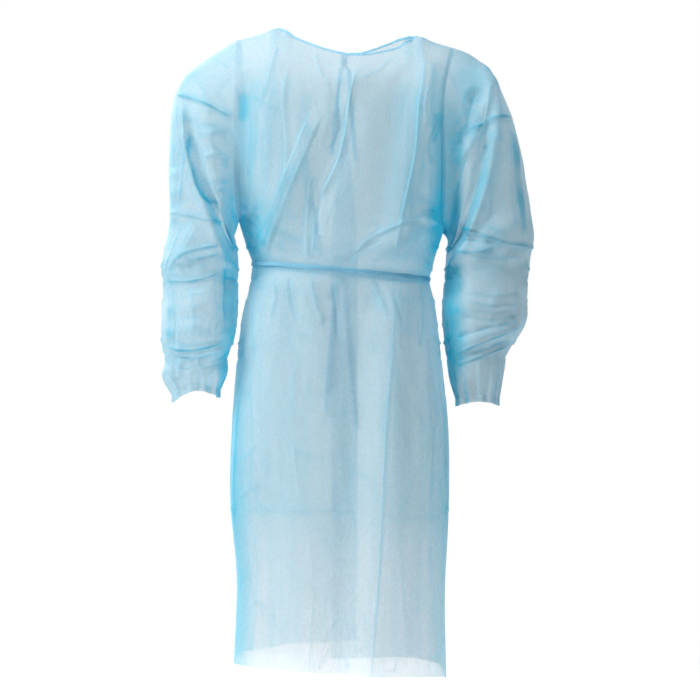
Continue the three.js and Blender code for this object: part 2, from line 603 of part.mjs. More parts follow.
const front = surface(frontGrid());
const backRight = surface(backGrid("right"));
const backLeft = surface(lapped(backGrid("left")));
const armhole = {
  right: armholePoints("right", front.grid, backRight.grid),
  left: armholePoints("left", front.grid, backLeft.grid),
};
const sleeves = {
  right: surface(sleeveGrid("right", armhole.right), true),
  left: surface(sleeveGrid("left", armhole.left), true),
};
shareNormals([front, backRight, backLeft, sleeves.right, sleeves.left]);

const panels = { front_panel: front, back_panel_right: backRight, back_panel_left: backLeft };
for (const [name, panel] of Object.entries(panels)) {
  gown.add(wall(name, { ...panel, grid: drawBack(panel.grid, { sides: true, top: true }) }));
}
for (const side of ["right", "left"]) {
  const sleeve = sleeves[side];
  gown.add(wall(`sleeve_${side}`, { ...sleeve, grid: drawBack(sleeve.grid, { top: true }) }));
  gown.add(wall(`cuff_${side}`, { ...surface(cuffGrid(side, armhole[side]), true), colour: TRIM_BLUE }));
}
gown.add(wall("neck_binding", neckBinding(front, backLeft, backRight)));
gown.add(wall("waist_belt", beltRing(front, backLeft, backRight)));
for (const tie of TIES) {
  gown.add(tieTail(tie, backLeft));
}
for (const knot of KNOTS) {
  gown.add(tiedKnot(knot, backLeft));
}

export default gown;
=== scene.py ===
# %% [markdown]
# # A disposable isolation gown
# The real gown is cut from a light blue non-woven: polypropylene fibres laid at random and bonded
# by heat into a thin, papery, see-through sheet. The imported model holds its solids, each piece a
# wall of its own. This lesson dresses them: every wall becomes a thin sheet of cloth with creases,
# the seams get their allowances and stitches, and the material lets light through.

# %% Load the frame
import json
import math

import bmesh
import bpy
import numpy as np
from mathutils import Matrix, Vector, kdtree

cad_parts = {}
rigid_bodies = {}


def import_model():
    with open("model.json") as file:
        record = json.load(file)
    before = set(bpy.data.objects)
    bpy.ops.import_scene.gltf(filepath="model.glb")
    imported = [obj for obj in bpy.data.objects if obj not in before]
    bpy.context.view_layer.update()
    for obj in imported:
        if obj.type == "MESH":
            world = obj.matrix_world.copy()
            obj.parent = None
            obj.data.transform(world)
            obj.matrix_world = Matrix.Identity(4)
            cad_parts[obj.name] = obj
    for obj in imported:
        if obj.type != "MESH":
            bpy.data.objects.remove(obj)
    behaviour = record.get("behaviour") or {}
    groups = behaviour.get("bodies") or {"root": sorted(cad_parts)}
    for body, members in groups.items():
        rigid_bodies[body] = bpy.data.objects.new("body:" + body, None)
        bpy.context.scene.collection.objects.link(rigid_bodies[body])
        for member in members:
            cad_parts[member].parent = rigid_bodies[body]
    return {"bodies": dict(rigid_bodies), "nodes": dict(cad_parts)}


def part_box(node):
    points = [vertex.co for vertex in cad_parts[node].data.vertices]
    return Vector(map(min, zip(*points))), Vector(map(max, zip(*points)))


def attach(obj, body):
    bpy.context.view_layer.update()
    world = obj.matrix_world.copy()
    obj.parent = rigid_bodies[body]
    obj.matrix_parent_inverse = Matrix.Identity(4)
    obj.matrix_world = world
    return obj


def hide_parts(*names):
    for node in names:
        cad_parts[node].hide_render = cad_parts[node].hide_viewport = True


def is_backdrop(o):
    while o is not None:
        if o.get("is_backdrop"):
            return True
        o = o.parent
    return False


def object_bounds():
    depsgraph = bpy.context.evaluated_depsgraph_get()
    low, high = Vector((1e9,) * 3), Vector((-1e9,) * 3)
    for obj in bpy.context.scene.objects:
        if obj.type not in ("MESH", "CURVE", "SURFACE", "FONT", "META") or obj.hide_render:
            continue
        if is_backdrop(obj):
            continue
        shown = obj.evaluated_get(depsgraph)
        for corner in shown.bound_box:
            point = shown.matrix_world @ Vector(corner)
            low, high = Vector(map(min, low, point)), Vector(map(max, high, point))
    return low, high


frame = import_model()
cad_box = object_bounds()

MM = 0.001
TINY = 1e-12  # keeps a division away from nought
ROOT = next(iter(frame["bodies"]))

# %% [markdown]
# ## Camera, backdrop and light
# The camera stands in front of the gown, level with its middle, far enough back for a long lens,
# which keeps the sleeves and the hem in proportion. The floor is a plain pale disc that fades out
# at its edge into a white studio: white behind a see-through cloth is what makes it glow. A strong
# lamp stands high on the left, so that folds have a light and a dark side, and another lights the
# back. A faintly blue one hangs above the shoulders, and hardly any light comes from the front. The
# studio looks white but gives little light of its own, or it would wash the folds out.

# %% Camera
VIEW_WIDTH = 1.26  # what the camera takes in at the gown, in metres
CAMERA_FROM = Vector((0.011, -3.4, -0.576))

camera = bpy.data.objects.new("camera", bpy.data.cameras.new("camera"))
bpy.context.scene.collection.objects.link(camera)
camera.location = CAMERA_FROM
camera.rotation_euler = (math.pi / 2, 0, 0)
camera.data.sensor_width = 36
camera.data.lens = camera.data.sensor_width * -CAMERA_FROM.y / VIEW_WIDTH
bpy.context.scene.camera = camera
print("lens", round(camera.data.lens, 1), "mm")

# %% Floor, and the helpers that make it
FLOOR_Z = -1.46  # where the wearer would stand, below the shoulders
FLOOR_RADIUS = 2.6
FLOOR_SOLID = 1.3  # the floor fades out between this radius and its edge
FLOOR_SIDES = 96


def mesh_object(name, points, edges=(), faces=(), material=None):
    mesh = bpy.data.meshes.new(name)
    mesh.from_pydata(points, edges, faces)
    if material:
        mesh.materials.append(material)
    made = bpy.data.objects.new(name, mesh)
    bpy.context.scene.collection.objects.link(made)
    return made


def add_node(tree, kind, inputs=None, **settings):
    """A node with its settings and the values of its inputs."""
    made = tree.nodes.new(kind)
    for key, value in settings.items():
        setattr(made, key, value)
    for key, value in (inputs or {}).items():
        made.inputs[key].default_value = value
    return made


def link(tree, *pairs):
    for source, target in pairs:
        tree.links.new(source, target)


def floor_material():
    material = bpy.data.materials.new("pale_floor")
    material.use_nodes = True
    tree = material.node_tree
    plain = tree.nodes["Principled BSDF"]
    plain.inputs["Base Color"].default_value = (0.92, 0.93, 0.94, 1)
    plain.inputs["Roughness"].default_value = 0.85
    place = add_node(tree, "ShaderNodeTexCoord")
    distance = add_node(tree, "ShaderNodeVectorMath", operation="LENGTH")
    ends = {"From Min": FLOOR_SOLID, "From Max": FLOOR_RADIUS * 0.97, "To Min": 1, "To Max": 0}
    fade = add_node(tree, "ShaderNodeMapRange", ends, interpolation_type="SMOOTHSTEP")
    link(
        tree,
        (place.outputs["Object"], distance.inputs[0]),
        (distance.outputs["Value"], fade.inputs["Value"]),
        (fade.outputs["Result"], plain.inputs["Alpha"]),
    )
    return material


angles = np.linspace(0, 2 * math.pi, FLOOR_SIDES + 1)[:-1]
rim = [(FLOOR_RADIUS * math.cos(a), FLOOR_RADIUS * math.sin(a), 0) for a in angles]
floor = mesh_object("floor", rim, faces=[list(range(FLOOR_SIDES))], material=floor_material())
floor.location.z = FLOOR_Z
floor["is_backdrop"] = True
print("floor", 2 * FLOOR_RADIUS, "m across")

# %% Lights
LAMPS = [  # name, place, size, power, colour
    ("key", (-3.0, -1.3, 1.4), 1.5, 165, (1, 1, 1)),
    ("front", (-0.8, -3.6, 0.6), 2.6, 5, (1, 1, 1)),
    ("top", (-0.2, -0.7, 2.4), 1.4, 55, (0.84, 0.93, 1)),
    ("back", (-1.5, 2.6, 0.9), 2.2, 170, (1, 1, 1)),
]
GOWN_MIDDLE = Vector((0, 0, -0.5))
for name, place, size, power, colour in LAMPS:
    lamp = bpy.data.objects.new(name, bpy.data.lights.new(name, "AREA"))
    lamp.data.size = size
    lamp.data.energy = power
    lamp.data.color = colour
    lamp.location = place
    lamp.rotation_euler = (GOWN_MIDDLE - Vector(place)).to_track_quat("-Z", "Y").to_euler()
    bpy.context.scene.collection.objects.link(lamp)

print("lamps", len(LAMPS))

# %% The white studio round it: pure white to look at, dimmer as a light
WORLD_LIGHT = 0.03
WHITE = (1, 1, 1, 1)
world = bpy.data.worlds.new("studio")
world.use_nodes = True
studio = world.node_tree
seen = studio.nodes["Background"]
seen.inputs["Color"].default_value = WHITE
seen.inputs["Strength"].default_value = 1
dim = add_node(studio, "ShaderNodeBackground", {"Color": WHITE, "Strength": WORLD_LIGHT})
path = add_node(studio, "ShaderNodeLightPath")
choose = add_node(studio, "ShaderNodeMixShader")
link(
    studio,
    (path.outputs["Is Camera Ray"], choose.inputs["Fac"]),
    (dim.outputs[0], choose.inputs[1]),
    (seen.outputs[0], choose.inputs[2]),
    (choose.outputs[0], studio.nodes["World Output"].inputs["Surface"]),
)
bpy.context.scene.world = world
bpy.context.scene.view_settings.view_transform = "Standard"
print("studio", WORLD_LIGHT, "as a light")

# %% [markdown]
# ## From walls to grids
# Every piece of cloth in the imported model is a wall 1.5 mm thick, woven from a grid of points:
# columns across the piece, rows from the hem or cuff upwards. Real cloth is a tenth of that, so
# each wall is turned into a single sheet again. A copy is merged, the rim that joins its two faces
# is dropped, and the outer face is walked from corner to corner, row by row. A grid in numpy is
# far quicker to fold and crease than a mesh in edit mode, and its seams stay in order.

# %% Read the outer face of a wall as a grid
RIM_EDGE = 1.9 * MM  # edges shorter than this cross the wall
SAME_POINT = 0.01 * MM  # points closer than this are one


def islands_of(bm):
    """The connected parts of a mesh, each a list of faces, the largest in area last."""
    unseen = set(bm.faces)
    islands = []
    while unseen:
        heap = [unseen.pop()]
        island = []
        while heap:
            face = heap.pop()
            island.append(face)
            for edge in face.edges:
                for near in edge.link_faces:
                    if near in unseen:
                        unseen.discard(near)
                        heap.append(near)
        islands.append(island)
    return sorted(islands, key=lambda island: sum(f.calc_area() for f in island))


def outer_face(node):
    """(points, triangles) of the outer face of a CAD node's wall."""
    bm = bmesh.new()
    bm.from_mesh(node.data)
    bmesh.ops.remove_doubles(bm, verts=bm.verts, dist=SAME_POINT)
    rim = [f for f in bm.faces if min(e.calc_length() for e in f.edges) < RIM_EDGE]
    bmesh.ops.delete(bm, geom=rim, context="FACES")
    outer = islands_of(bm)[-1]
    index = {}
    for face in outer:
        for vert in face.verts:
            index.setdefault(vert.index, len(index))
    bm.verts.ensure_lookup_table()
    points = np.array([bm.verts[i].co for i in index])
    triangles = [tuple(index[v.index] for v in f.verts) for f in outer]
    bm.free()
    return points, triangles


def walk_grid(points, triangles):
    """The wall's grid (columns, rows, 3), and whether its columns close into a tube."""
    across, used = {}, {}  # the third corner beyond each edge, and the triangles at each point
    for a, b, c in triangles:
        across[a, b] = c
        across[b, c] = a
        across[c, a] = b
        for v in (a, b, c):
            used[v] = used.get(v, 0) + 1
    after = {u: v for (u, v) in across if (v, u) not in across}
    corners = [v for v in after if used[v] == 2 and used[after[v]] != 2]
    closed = sum(used[v] < 3 for v in after) == 0
    if closed:
        start = next(int(v) for v in np.argsort(points[:, 2]) if int(v) in after)
    else:
        start = min(corners, key=lambda v: points[v, 2])
    row = [start]
    while after[row[-1]] != start and (closed or used[row[-1]] != 1 or len(row) == 1):
        row.append(after[row[-1]])
    rows = [row]
    while True:
        row = rows[-1]
        pairs = list(zip(row, row[1:] + row[:1])) if closed else list(zip(row, row[1:]))
        if pairs[0] not in across:
            break
        tops = [across[a, across[a, b]] for a, b in pairs]
        if not closed:
            tops.append(across[pairs[-1]])
        rows.append(tops)
    return points[np.array(rows).T], closed


WALLS = ["front_panel", "back_panel_right", "back_panel_left", "sleeve_right", "sleeve_left"]
WALLS += ["cuff_right", "cuff_left", "neck_binding", "waist_belt"]
WALLS += ["neck_tie_left", "neck_tie_right", "waist_tie_left", "waist_tie_right"]
walls = {}
for name in WALLS:
    walls[name], closed = walk_grid(*outer_face(frame["nodes"][name]))
    print(name, walls[name].shape[:2], "tube" if closed else "sheet", walls[name][0, 0].round(3))

# %% [markdown]
# ## Finer grids
# The walls are coarse: a column every 17 mm, a row every 20 to 45 mm. Creases in a paper-like cloth
# are a few millimetres wide, so each grid is made finer with Catmull-Rom curves, which pass through
# the points they are given. A Subdivision Surface modifier would smooth as well, but it pulls away
# from the points and forgets which column is which. Rows along the armhole and columns round the
# sleeve get the same number of steps, so that the seams between them meet point on point.

# %% Catmull-Rom steps along one axis of a grid
COLUMN_STEPS = 8  # panels, across
ROW_STEPS = 12  # panels, upwards, and sleeves, round
SLEEVE_STEPS = 10  # sleeves, upwards
CUFF_STEPS = 8  # cuffs, upwards


def finer(grid, steps, axis, closed=False):
    line = np.moveaxis(grid, axis, 0)
    if closed:
        padded = np.concatenate([line[-1:], line, line[:2]])
    else:
        padded = np.concatenate([2 * line[:1] - line[1:2], line, 2 * line[-1:] - line[-2:-1]])
    p0, p1, p2, p3 = padded[:-3, None], padded[1:-2, None], padded[2:-1, None], padded[3:, None]
    t = (np.arange(steps) / steps).reshape(1, steps, *[1] * (line.ndim - 1))
    square, cube = 2 * p0 - 5 * p1 + 4 * p2 - p3, 3 * p1 - p0 - 3 * p2 + p3
    curve = 0.5 * (2 * p1 + (p2 - p0) * t + square * t**2 + cube * t**3)
    curve = curve.reshape(-1, *line.shape[1:])
    if not closed:
        curve = np.concatenate([curve, line[-1:]])
    return np.moveaxis(curve, 0, axis)


def roll_to_armpit(grid):
    """Starts a sleeve's columns at the armpit, the lowest point of its top ring."""
    return np.roll(grid, -int(np.argmin(grid[:, -1, 2])), axis=0)


cloth = {}
for name in ("front_panel", "back_panel_right", "back_panel_left"):
    cloth[name] = finer(finer(walls[name], COLUMN_STEPS, 0), ROW_STEPS, 1)
for side in ("right", "left"):
    sleeve = roll_to_armpit(walls[f"sleeve_{side}"])
    cuff = walls[f"cuff_{side}"]
    start = int(np.argmin(np.linalg.norm(cuff[:, -1] - sleeve[0, 0], axis=1)))
    cuff = np.roll(cuff, -start, axis=0)
    cloth[f"sleeve_{side}"] = finer(finer(sleeve, ROW_STEPS, 0, closed=True), SLEEVE_STEPS, 1)
    cloth[f"cuff_{side}"] = finer(finer(cuff, ROW_STEPS, 0, closed=True), CUFF_STEPS, 1)
TUBES = {"sleeve_right", "sleeve_left", "cuff_right", "cuff_left"}
print("finer grids", {name: grid.shape[:2] for name, grid in cloth.items()})

# %% [markdown]
# ## Broad folds and edges
# The walls hold only the largest folds, and a few broad facets. A running mean along the columns or
# the rows eases them, as a smoothing brush would in sculpt mode, but evenly and alike on every run.
# Then the edges get their worn shape: the neckline dips in front and stands up behind, the ties
# draw the nape together, and the hem hangs lowest where it folds at the sides.

# %% Ease the broad folds
EASE_SHARE = 0.75  # how far a point moves towards the mean of its neighbours
FRONT_REACH, SLEEVE_REACH = 24, 14  # neighbours on each side, in columns and in rows
FRONT_EDGE, FRONT_FADE = 4, 30  # columns at each edge that stay, and that fade in
FRONT_EASED, SLEEVE_EASED = (-1.4, -0.05), (-0.625, -0.2)  # heights between which cloth is eased
EASE_FADE = 0.05


def eased(grid, axis, reach, share):
    """Moves each point part of the way to the mean of its neighbours up to reach away."""
    mean = np.zeros_like(grid)
    total = 0
    for step in range(-reach, reach + 1):
        weight = 1 - abs(step) / (reach + 1)
        index = np.clip(np.arange(grid.shape[axis]) + step, 0, grid.shape[axis] - 1)
        mean += weight * np.take(grid, index, axis)
        total += weight
    return grid + share[..., None] * (mean / total - grid)


def between(value, low, high, fade):
    return np.clip((value - low) / fade, 0, 1) * np.clip((high - value) / fade, 0, 1)


front_grid = cloth["front_panel"]
columns = front_grid.shape[0]
middle = between(np.arange(columns), FRONT_EDGE, columns - 1 - FRONT_EDGE, FRONT_FADE)[:, None]
share = middle * between(front_grid[..., 2], *FRONT_EASED, EASE_FADE) * EASE_SHARE
cloth["front_panel"] = eased(front_grid, 0, FRONT_REACH, share)
for side in ("right", "left"):
    sleeve = cloth[f"sleeve_{side}"]
    share = EASE_SHARE * between(sleeve[..., 2], *SLEEVE_EASED, EASE_FADE)
    cloth[f"sleeve_{side}"] = eased(sleeve, 1, SLEEVE_REACH, share)
print("eased over", 2 * FRONT_REACH + 1, "columns in front,", 2 * SLEEVE_REACH + 1, "rows of a sleeve")

# %% Shape the neckline, draw the nape together and square the hem's corners
NECKLINE = [  # x in mm, how far the front edge dips and how far the back edge stands up there
    (-124, 0, 0),
    (-86, 6.5, 2.5),
    (-50, 5.5, 4),
    (0, 4.5, 4.5),
    (30, 4, 6.5),
    (67, 6.5, 12),
    (98, 10, 13.5),
    (122, 6, 6),
    (138, 0, 0),
]
NAPE_MOVE = 7 * MM  # the ties pull each free edge this far over the other
NAPE_REACH = 60 * MM
BINDING_STEPS = 7
BINDING_SHOWN = 0.42  # the share of the wall that the finished tape covers
CLOTH_BELOW = 0.6  # the cloth ends this share of the tape's width below the tape's top
RAISED_ROWS = 24  # rows of cloth that rise with its edge
FRONT_TO_BACK = 0.03  # the front's dip fades into the back's rise over this depth, in metres
SHOULDER_END = 3 * COLUMN_STEPS  # columns from the armhole to the neck
HEM_DROP = {"right": 9 * MM, "left": 15 * MM}  # the cloth hangs lower where it folds at the side
HEM_REACH = 110 * MM


def draw_nape(grid, edge, towards):
    away = np.linalg.norm(grid - grid[edge, -1], axis=2)
    grid[..., 0] += towards * NAPE_MOVE * np.exp(-((away / NAPE_REACH) ** 2))


def drop_corner(grid, edge, drop):
    away = np.linalg.norm(grid - grid[edge, 0], axis=2)
    grid[..., 2] -= drop * np.exp(-((away / (HEM_REACH / 2)) ** 2))


def raise_to_binding(grid, columns):
    """Lets the cloth run up under the finished tape, which is narrower than its wall."""
    low, high = neck[:, 0], neck[:, 1]
    edge = grid[columns, -1]
    nearest = np.linalg.norm(edge[:, None] - low[None], axis=2).argmin(axis=1)
    lift = (low + (high - low) * (1 - BINDING_SHOWN * CLOTH_BELOW))[nearest] - edge
    for depth in range(RAISED_ROWS):
        grid[columns, -1 - depth] += lift * (1 - depth / RAISED_ROWS) ** 2


draw_nape(cloth["back_panel_right"], 0, 1)
draw_nape(cloth["back_panel_left"], -1, -1)
neck = finer(walls["neck_binding"], BINDING_STEPS, 0)
neckline_x, dips, stands = np.array(NECKLINE, float).T
front_part = np.clip(-neck[..., 1] / FRONT_TO_BACK, 0, 1)
back_part = np.clip(neck[..., 1] / FRONT_TO_BACK, 0, 1)
neck[..., 2] -= np.interp(neck[..., 0] / MM, neckline_x, dips) * MM * front_part
neck[..., 2] += np.interp(neck[..., 0] / MM, neckline_x, stands) * MM * back_part
raise_to_binding(cloth["front_panel"], np.s_[SHOULDER_END:-SHOULDER_END])
raise_to_binding(cloth["back_panel_right"], np.s_[:-SHOULDER_END])
raise_to_binding(cloth["back_panel_left"], np.s_[SHOULDER_END:])
for side, edge in (("right", 0), ("left", -1)):
    drop_corner(cloth["front_panel"], edge, HEM_DROP[side])
    drop_corner(cloth[f"back_panel_{side}"], -1 if side == "right" else 0, HEM_DROP[side])
for name, grid in cloth.items():
    print(name, "about", 2 * grid.shape[0] * grid.shape[1], "triangles")

# %% Normals of a grid, which point out of the gown
def steps_of(grid, axis, closed=False):
    """The step from each point's neighbour before it to the one after it."""
    if closed:
        return np.roll(grid, -1, axis) - np.roll(grid, 1, axis)
    return np.gradient(grid, axis=axis)


def normals_of(grid, closed):
    out = np.cross(steps_of(grid, 0, closed), steps_of(grid, 1))
    return out / np.maximum(np.linalg.norm(out, axis=2, keepdims=True), TINY)


# %% [markdown]
# ## Seams
# A maker sews front to back at the sides and shoulders and sets each sleeve into its armhole. Here
# the same edges are listed as pairs of lines in the grids. Points that are sewn together share one
# place, and what an edge has to move for that fades out over the next few lines of its grid, so a
# seam never shows as a step.

# %% List the points that are sewn together
ARMPIT_ROW = 18 * ROW_STEPS  # the sleeves are set in from the walls' 18th row upwards


def index_grid(name):
    columns, rows = cloth[name].shape[:2]
    return np.stack(np.meshgrid(np.arange(columns), np.arange(rows), indexing="ij"), axis=-1)


def line_points(name, line):
    return cloth[name][line[:, 0], line[:, 1]]


def sew(name_a, line_a, name_b, line_b):
    """A seam between two lines of grid places, turned so that they run the same way."""
    a, b = line_points(name_a, line_a), line_points(name_b, line_b)
    same_way = np.linalg.norm(a[0] - b[0]) + np.linalg.norm(a[-1] - b[-1])
    other_way = np.linalg.norm(a[0] - b[-1]) + np.linalg.norm(a[-1] - b[0])
    if other_way < same_way:
        line_b = line_b[::-1]
    return name_a, line_a, name_b, line_b


front, places = "front_panel", index_grid("front_panel")
SEAMS = {}
for side, front_edge in (("right", 0), ("left", -1)):
    back = f"back_panel_{side}"
    back_places = index_grid(back)
    back_edge = -1 if side == "right" else 0
    front_side, back_side = places[front_edge], back_places[back_edge]
    SEAMS[f"side_{side}"] = sew(front, front_side[: ARMPIT_ROW + 1], back, back_side[: ARMPIT_ROW + 1])
    first, last = np.s_[: SHOULDER_END + 1, -1], np.s_[-SHOULDER_END - 1 :, -1]
    front_top, back_top = (first, last) if side == "right" else (last, first)
    SEAMS[f"shoulder_{side}"] = sew(front, places[front_top], back, back_places[back_top])
    sleeve = f"sleeve_{side}"
    ring = index_grid(sleeve)[:, -1]
    half = len(ring) // 2
    halves = [ring[: half + 1], np.concatenate([ring[half:], ring[:1]])]
    if line_points(sleeve, halves[0])[:, 1].mean() > line_points(sleeve, halves[1])[:, 1].mean():
        halves.reverse()
    SEAMS[f"armhole_front_{side}"] = sew(front, front_side[ARMPIT_ROW:], sleeve, halves[0])
    SEAMS[f"armhole_back_{side}"] = sew(back, back_side[ARMPIT_ROW:], sleeve, halves[1])
    cuff = f"cuff_{side}"
    SEAMS[f"cuff_{side}"] = (sleeve, index_grid(sleeve)[:, 0], cuff, index_grid(cuff)[:, -1])
for name, (a, line_a, b, line_b) in SEAMS.items():
    gap = np.linalg.norm(line_points(a, line_a) - line_points(b, line_b), axis=1)
    print(name, len(line_a), "points, widest gap", round(gap.max() / MM, 2), "mm")

# %% Close the seams
SEAM_FADE = 6  # lines of the grid over which a moved edge fades out


def sewn_groups():
    """Each group of grid places that is one point of the garment."""
    group = {}
    for a, line_a, b, line_b in SEAMS.values():
        for place_a, place_b in zip(line_a, line_b):
            key_a, key_b = (a, *map(int, place_a)), (b, *map(int, place_b))
            merged = group.get(key_a, {key_a}) | group.get(key_b, {key_b})
            for key in merged:
                group[key] = merged
    return list({id(g): sorted(g) for g in group.values()}.values())


GROUPS = sewn_groups()


def share_at_seams(fields, unit=False):
    """Gives every group of sewn places the mean of its values, in fields with a grid for each piece."""
    for group in GROUPS:
        mean = sum(fields[name][i, j] for name, i, j in group) / len(group)
        if unit:
            mean = mean / max(np.linalg.norm(mean), TINY)
        for name, i, j in group:
            fields[name][i, j] = mean


def close_seams():
    """Moves sewn places together, and lets the move fade out into the cloth."""
    before = {name: grid.copy() for name, grid in cloth.items()}
    share_at_seams(cloth)
    for name, grid in cloth.items():
        moved = grid - before[name]
        for depth in range(1, SEAM_FADE):
            share = (1 - depth / SEAM_FADE) ** 2
            for edge, step in ((0, 1), (-1, -1)):
                if name not in TUBES:
                    inner = np.s_[SEAM_FADE:-SEAM_FADE]
                    grid[edge + step * depth, inner] += share * moved[edge, inner]
                grid[:, edge + step * depth] += share * moved[:, edge]


close_seams()
print("sewn groups", len(GROUPS))

# %% [markdown]
# ## Creases
# This cloth is stiff and paper-like: it doesn't flow like cotton, it buckles into broad planes with
# sharp lines between them, some from wearing and some from the packet it was folded in. Each main
# crease is listed as a line on the gown seen from one side, with a width and a height in
# millimetres. Four cross-sections are enough: a ridge (or a trough, with a negative height), a
# tuck, where the cloth lies double along a flat strip, a kink, steep on one side only, and a band,
# a wide soft swell without a line, where loose cloth gathers and its blue deepens. On the right side
# and right sleeve of the gown and down the middle of the chest, some bands' deeper blue is painted
# shade as well. The height is added along the cloth's normal, and fades where the cloth turns away
# from that side.

# %% The tables of creases, in millimetres from the shoulders' level
FRONT_CREASES = [  # shape, width to each side, height, layers of cloth with painted shade in some bands, points (x, z, x, z, ...)
    ("tuck", 14, 3.4, 0.8, (-44, -160, -62, -200, -76, -236, -98, -288, -126, -353, -156, -424)),
    ("kink", 12, 5.0, 0.3, (24, -78, 17, -104, 9, -153, 2, -202, -13, -256, -47, -322)),
    ("ridge", 20, -7.0, 0.0, (-4, -104, -10, -134, -8, -190, -26, -236)),
    ("ridge", 9, 2.6, 0.2, (-50, -262, -60, -310, -64, -372, -62, -428)),
    ("ridge", 10, -2.4, 0.1, (-38, -300, -46, -340, -44, -380)),
    ("kink", 11, 3.4, 0.45, (135, -36, 140, -80, 131, -150, 124, -240, 100, -352, 84, -440)),
    ("kink", 9, 1.7, 0.35, (84, -446, 87, -540, 74, -704, 62, -950, 46, -1160)),
    ("ridge", 9, 2.4, 0.25, (176, -160, 150, -216, 158, -252)),
    ("ridge", 8, 2.2, 0.3, (150, -112, 143, -150, 150, -186)),
    ("kink", 7, 3.2, 0.6, (12, -420, 42, -386, 88, -362, 150, -338, 176, -332)),
    ("ridge", 6, -2.4, 0.3, (2, -428, 34, -398, 70, -384)),
    ("band", 60, -4.0, 0.85, (-198, -60, -194, -150, -190, -260, -176, -340, -140, -500)),
    ("band", 19, -2.0, 1.4, (-176, -112, -176, -150, -180, -190)),
    # Partly painted shade: this band's deeper blue is cloth lying double at the right side and the shadow
    # there.
    ("band", 46, -3.0, 1.5, (188, -60, 184, -200, 178, -300, 174, -400, 166, -480)),
    # Painted shade: the deeper blue of these two bands stands for the shadow on the right of the chest and
    # down its middle.
    ("band", 90, -5.0, 0.8, (110, -30, 112, -150, 104, -240, 92, -430)),
    ("band", 80, -2.0, 0.55, (4, -60, 0, -200, -6, -430)),
    ("band", 42, -2.0, 1.2, (-186, -400, -198, -600, -202, -800, -198, -1300)),
    ("band", 32, -2.0, 1.0, (178, -400, 192, -600, 196, -800, 192, -1300)),
    ("kink", 9, 2.6, 0.3, (-118, -40, -132, -104, -150, -160)),
    ("ridge", 9, 1.8, 0.0, (-92, -60, -104, -140, -98, -230, -112, -330)),
    ("ridge", 8, 1.8, 0.1, (-52, -48, -40, -92, -22, -120)),
    ("ridge", 7, 1.6, 0.15, (86, -56, 62, -86, 30, -104)),
    ("kink", 6, 1.6, 0.2, (-66, -300, -52, -350, -56, -420)),
    ("ridge", 10, 2.0, 0.1, (-58, -446, -50, -486, -34, -532)),
    ("ridge", 6, -1.8, 0.2, (-22, -448, -14, -500, -10, -560)),
    ("ridge", 8, 2.4, 0.15, (46, -448, 60, -478, 78, -520)),
    ("ridge", 7, -2.0, 0.15, (84, -470, 100, -512, 112, -548)),
    ("ridge", 8, 2.2, 0.3, (-152, -442, -160, -500, -156, -590)),
    ("ridge", 6, 1.8, 0.2, (-124, -446, -120, -482, -128, -522)),
    ("ridge", 6, -1.6, 0.1, (-96, -446, -90, -492, -80, -530)),
    ("ridge", 7, 2.0, 0.2, (136, -462, 140, -510, 132, -570)),
    ("kink", 8, 0.8, 0.2, (-190, -852, -120, -857, -40, -856, 30, -862)),
    ("kink", 8, 0.7, 0.12, (186, -872, 130, -868, 66, -866)),
    ("ridge", 8, 1.0, 0.3, (-186, -840, -160, -820, -130, -812)),
    ("ridge", 12, 1.0, 0.08, (-168, -600, -160, -720, -166, -850)),
    ("ridge", 12, 0.8, 0.05, (-158, -872, -152, -980, -164, -1130)),
    ("ridge", 12, 1.2, 0.08, (150, -560, 158, -700, 150, -860)),
    ("ridge", 12, 1.0, 0.08, (148, -884, 156, -1010, 150, -1150)),
    ("ridge", 12, 0.9, 0.0, (-80, -560, -88, -700, -72, -850)),
    ("ridge", 12, 0.8, 0.0, (4, -600, -4, -740, 8, -900)),
    ("ridge", 10, 0.8, 0.0, (-60, -880, -52, -1000, -62, -1140)),
    ("ridge", 12, 0.6, 0.0, (110, -900, 104, -1010, 112, -1150)),
]
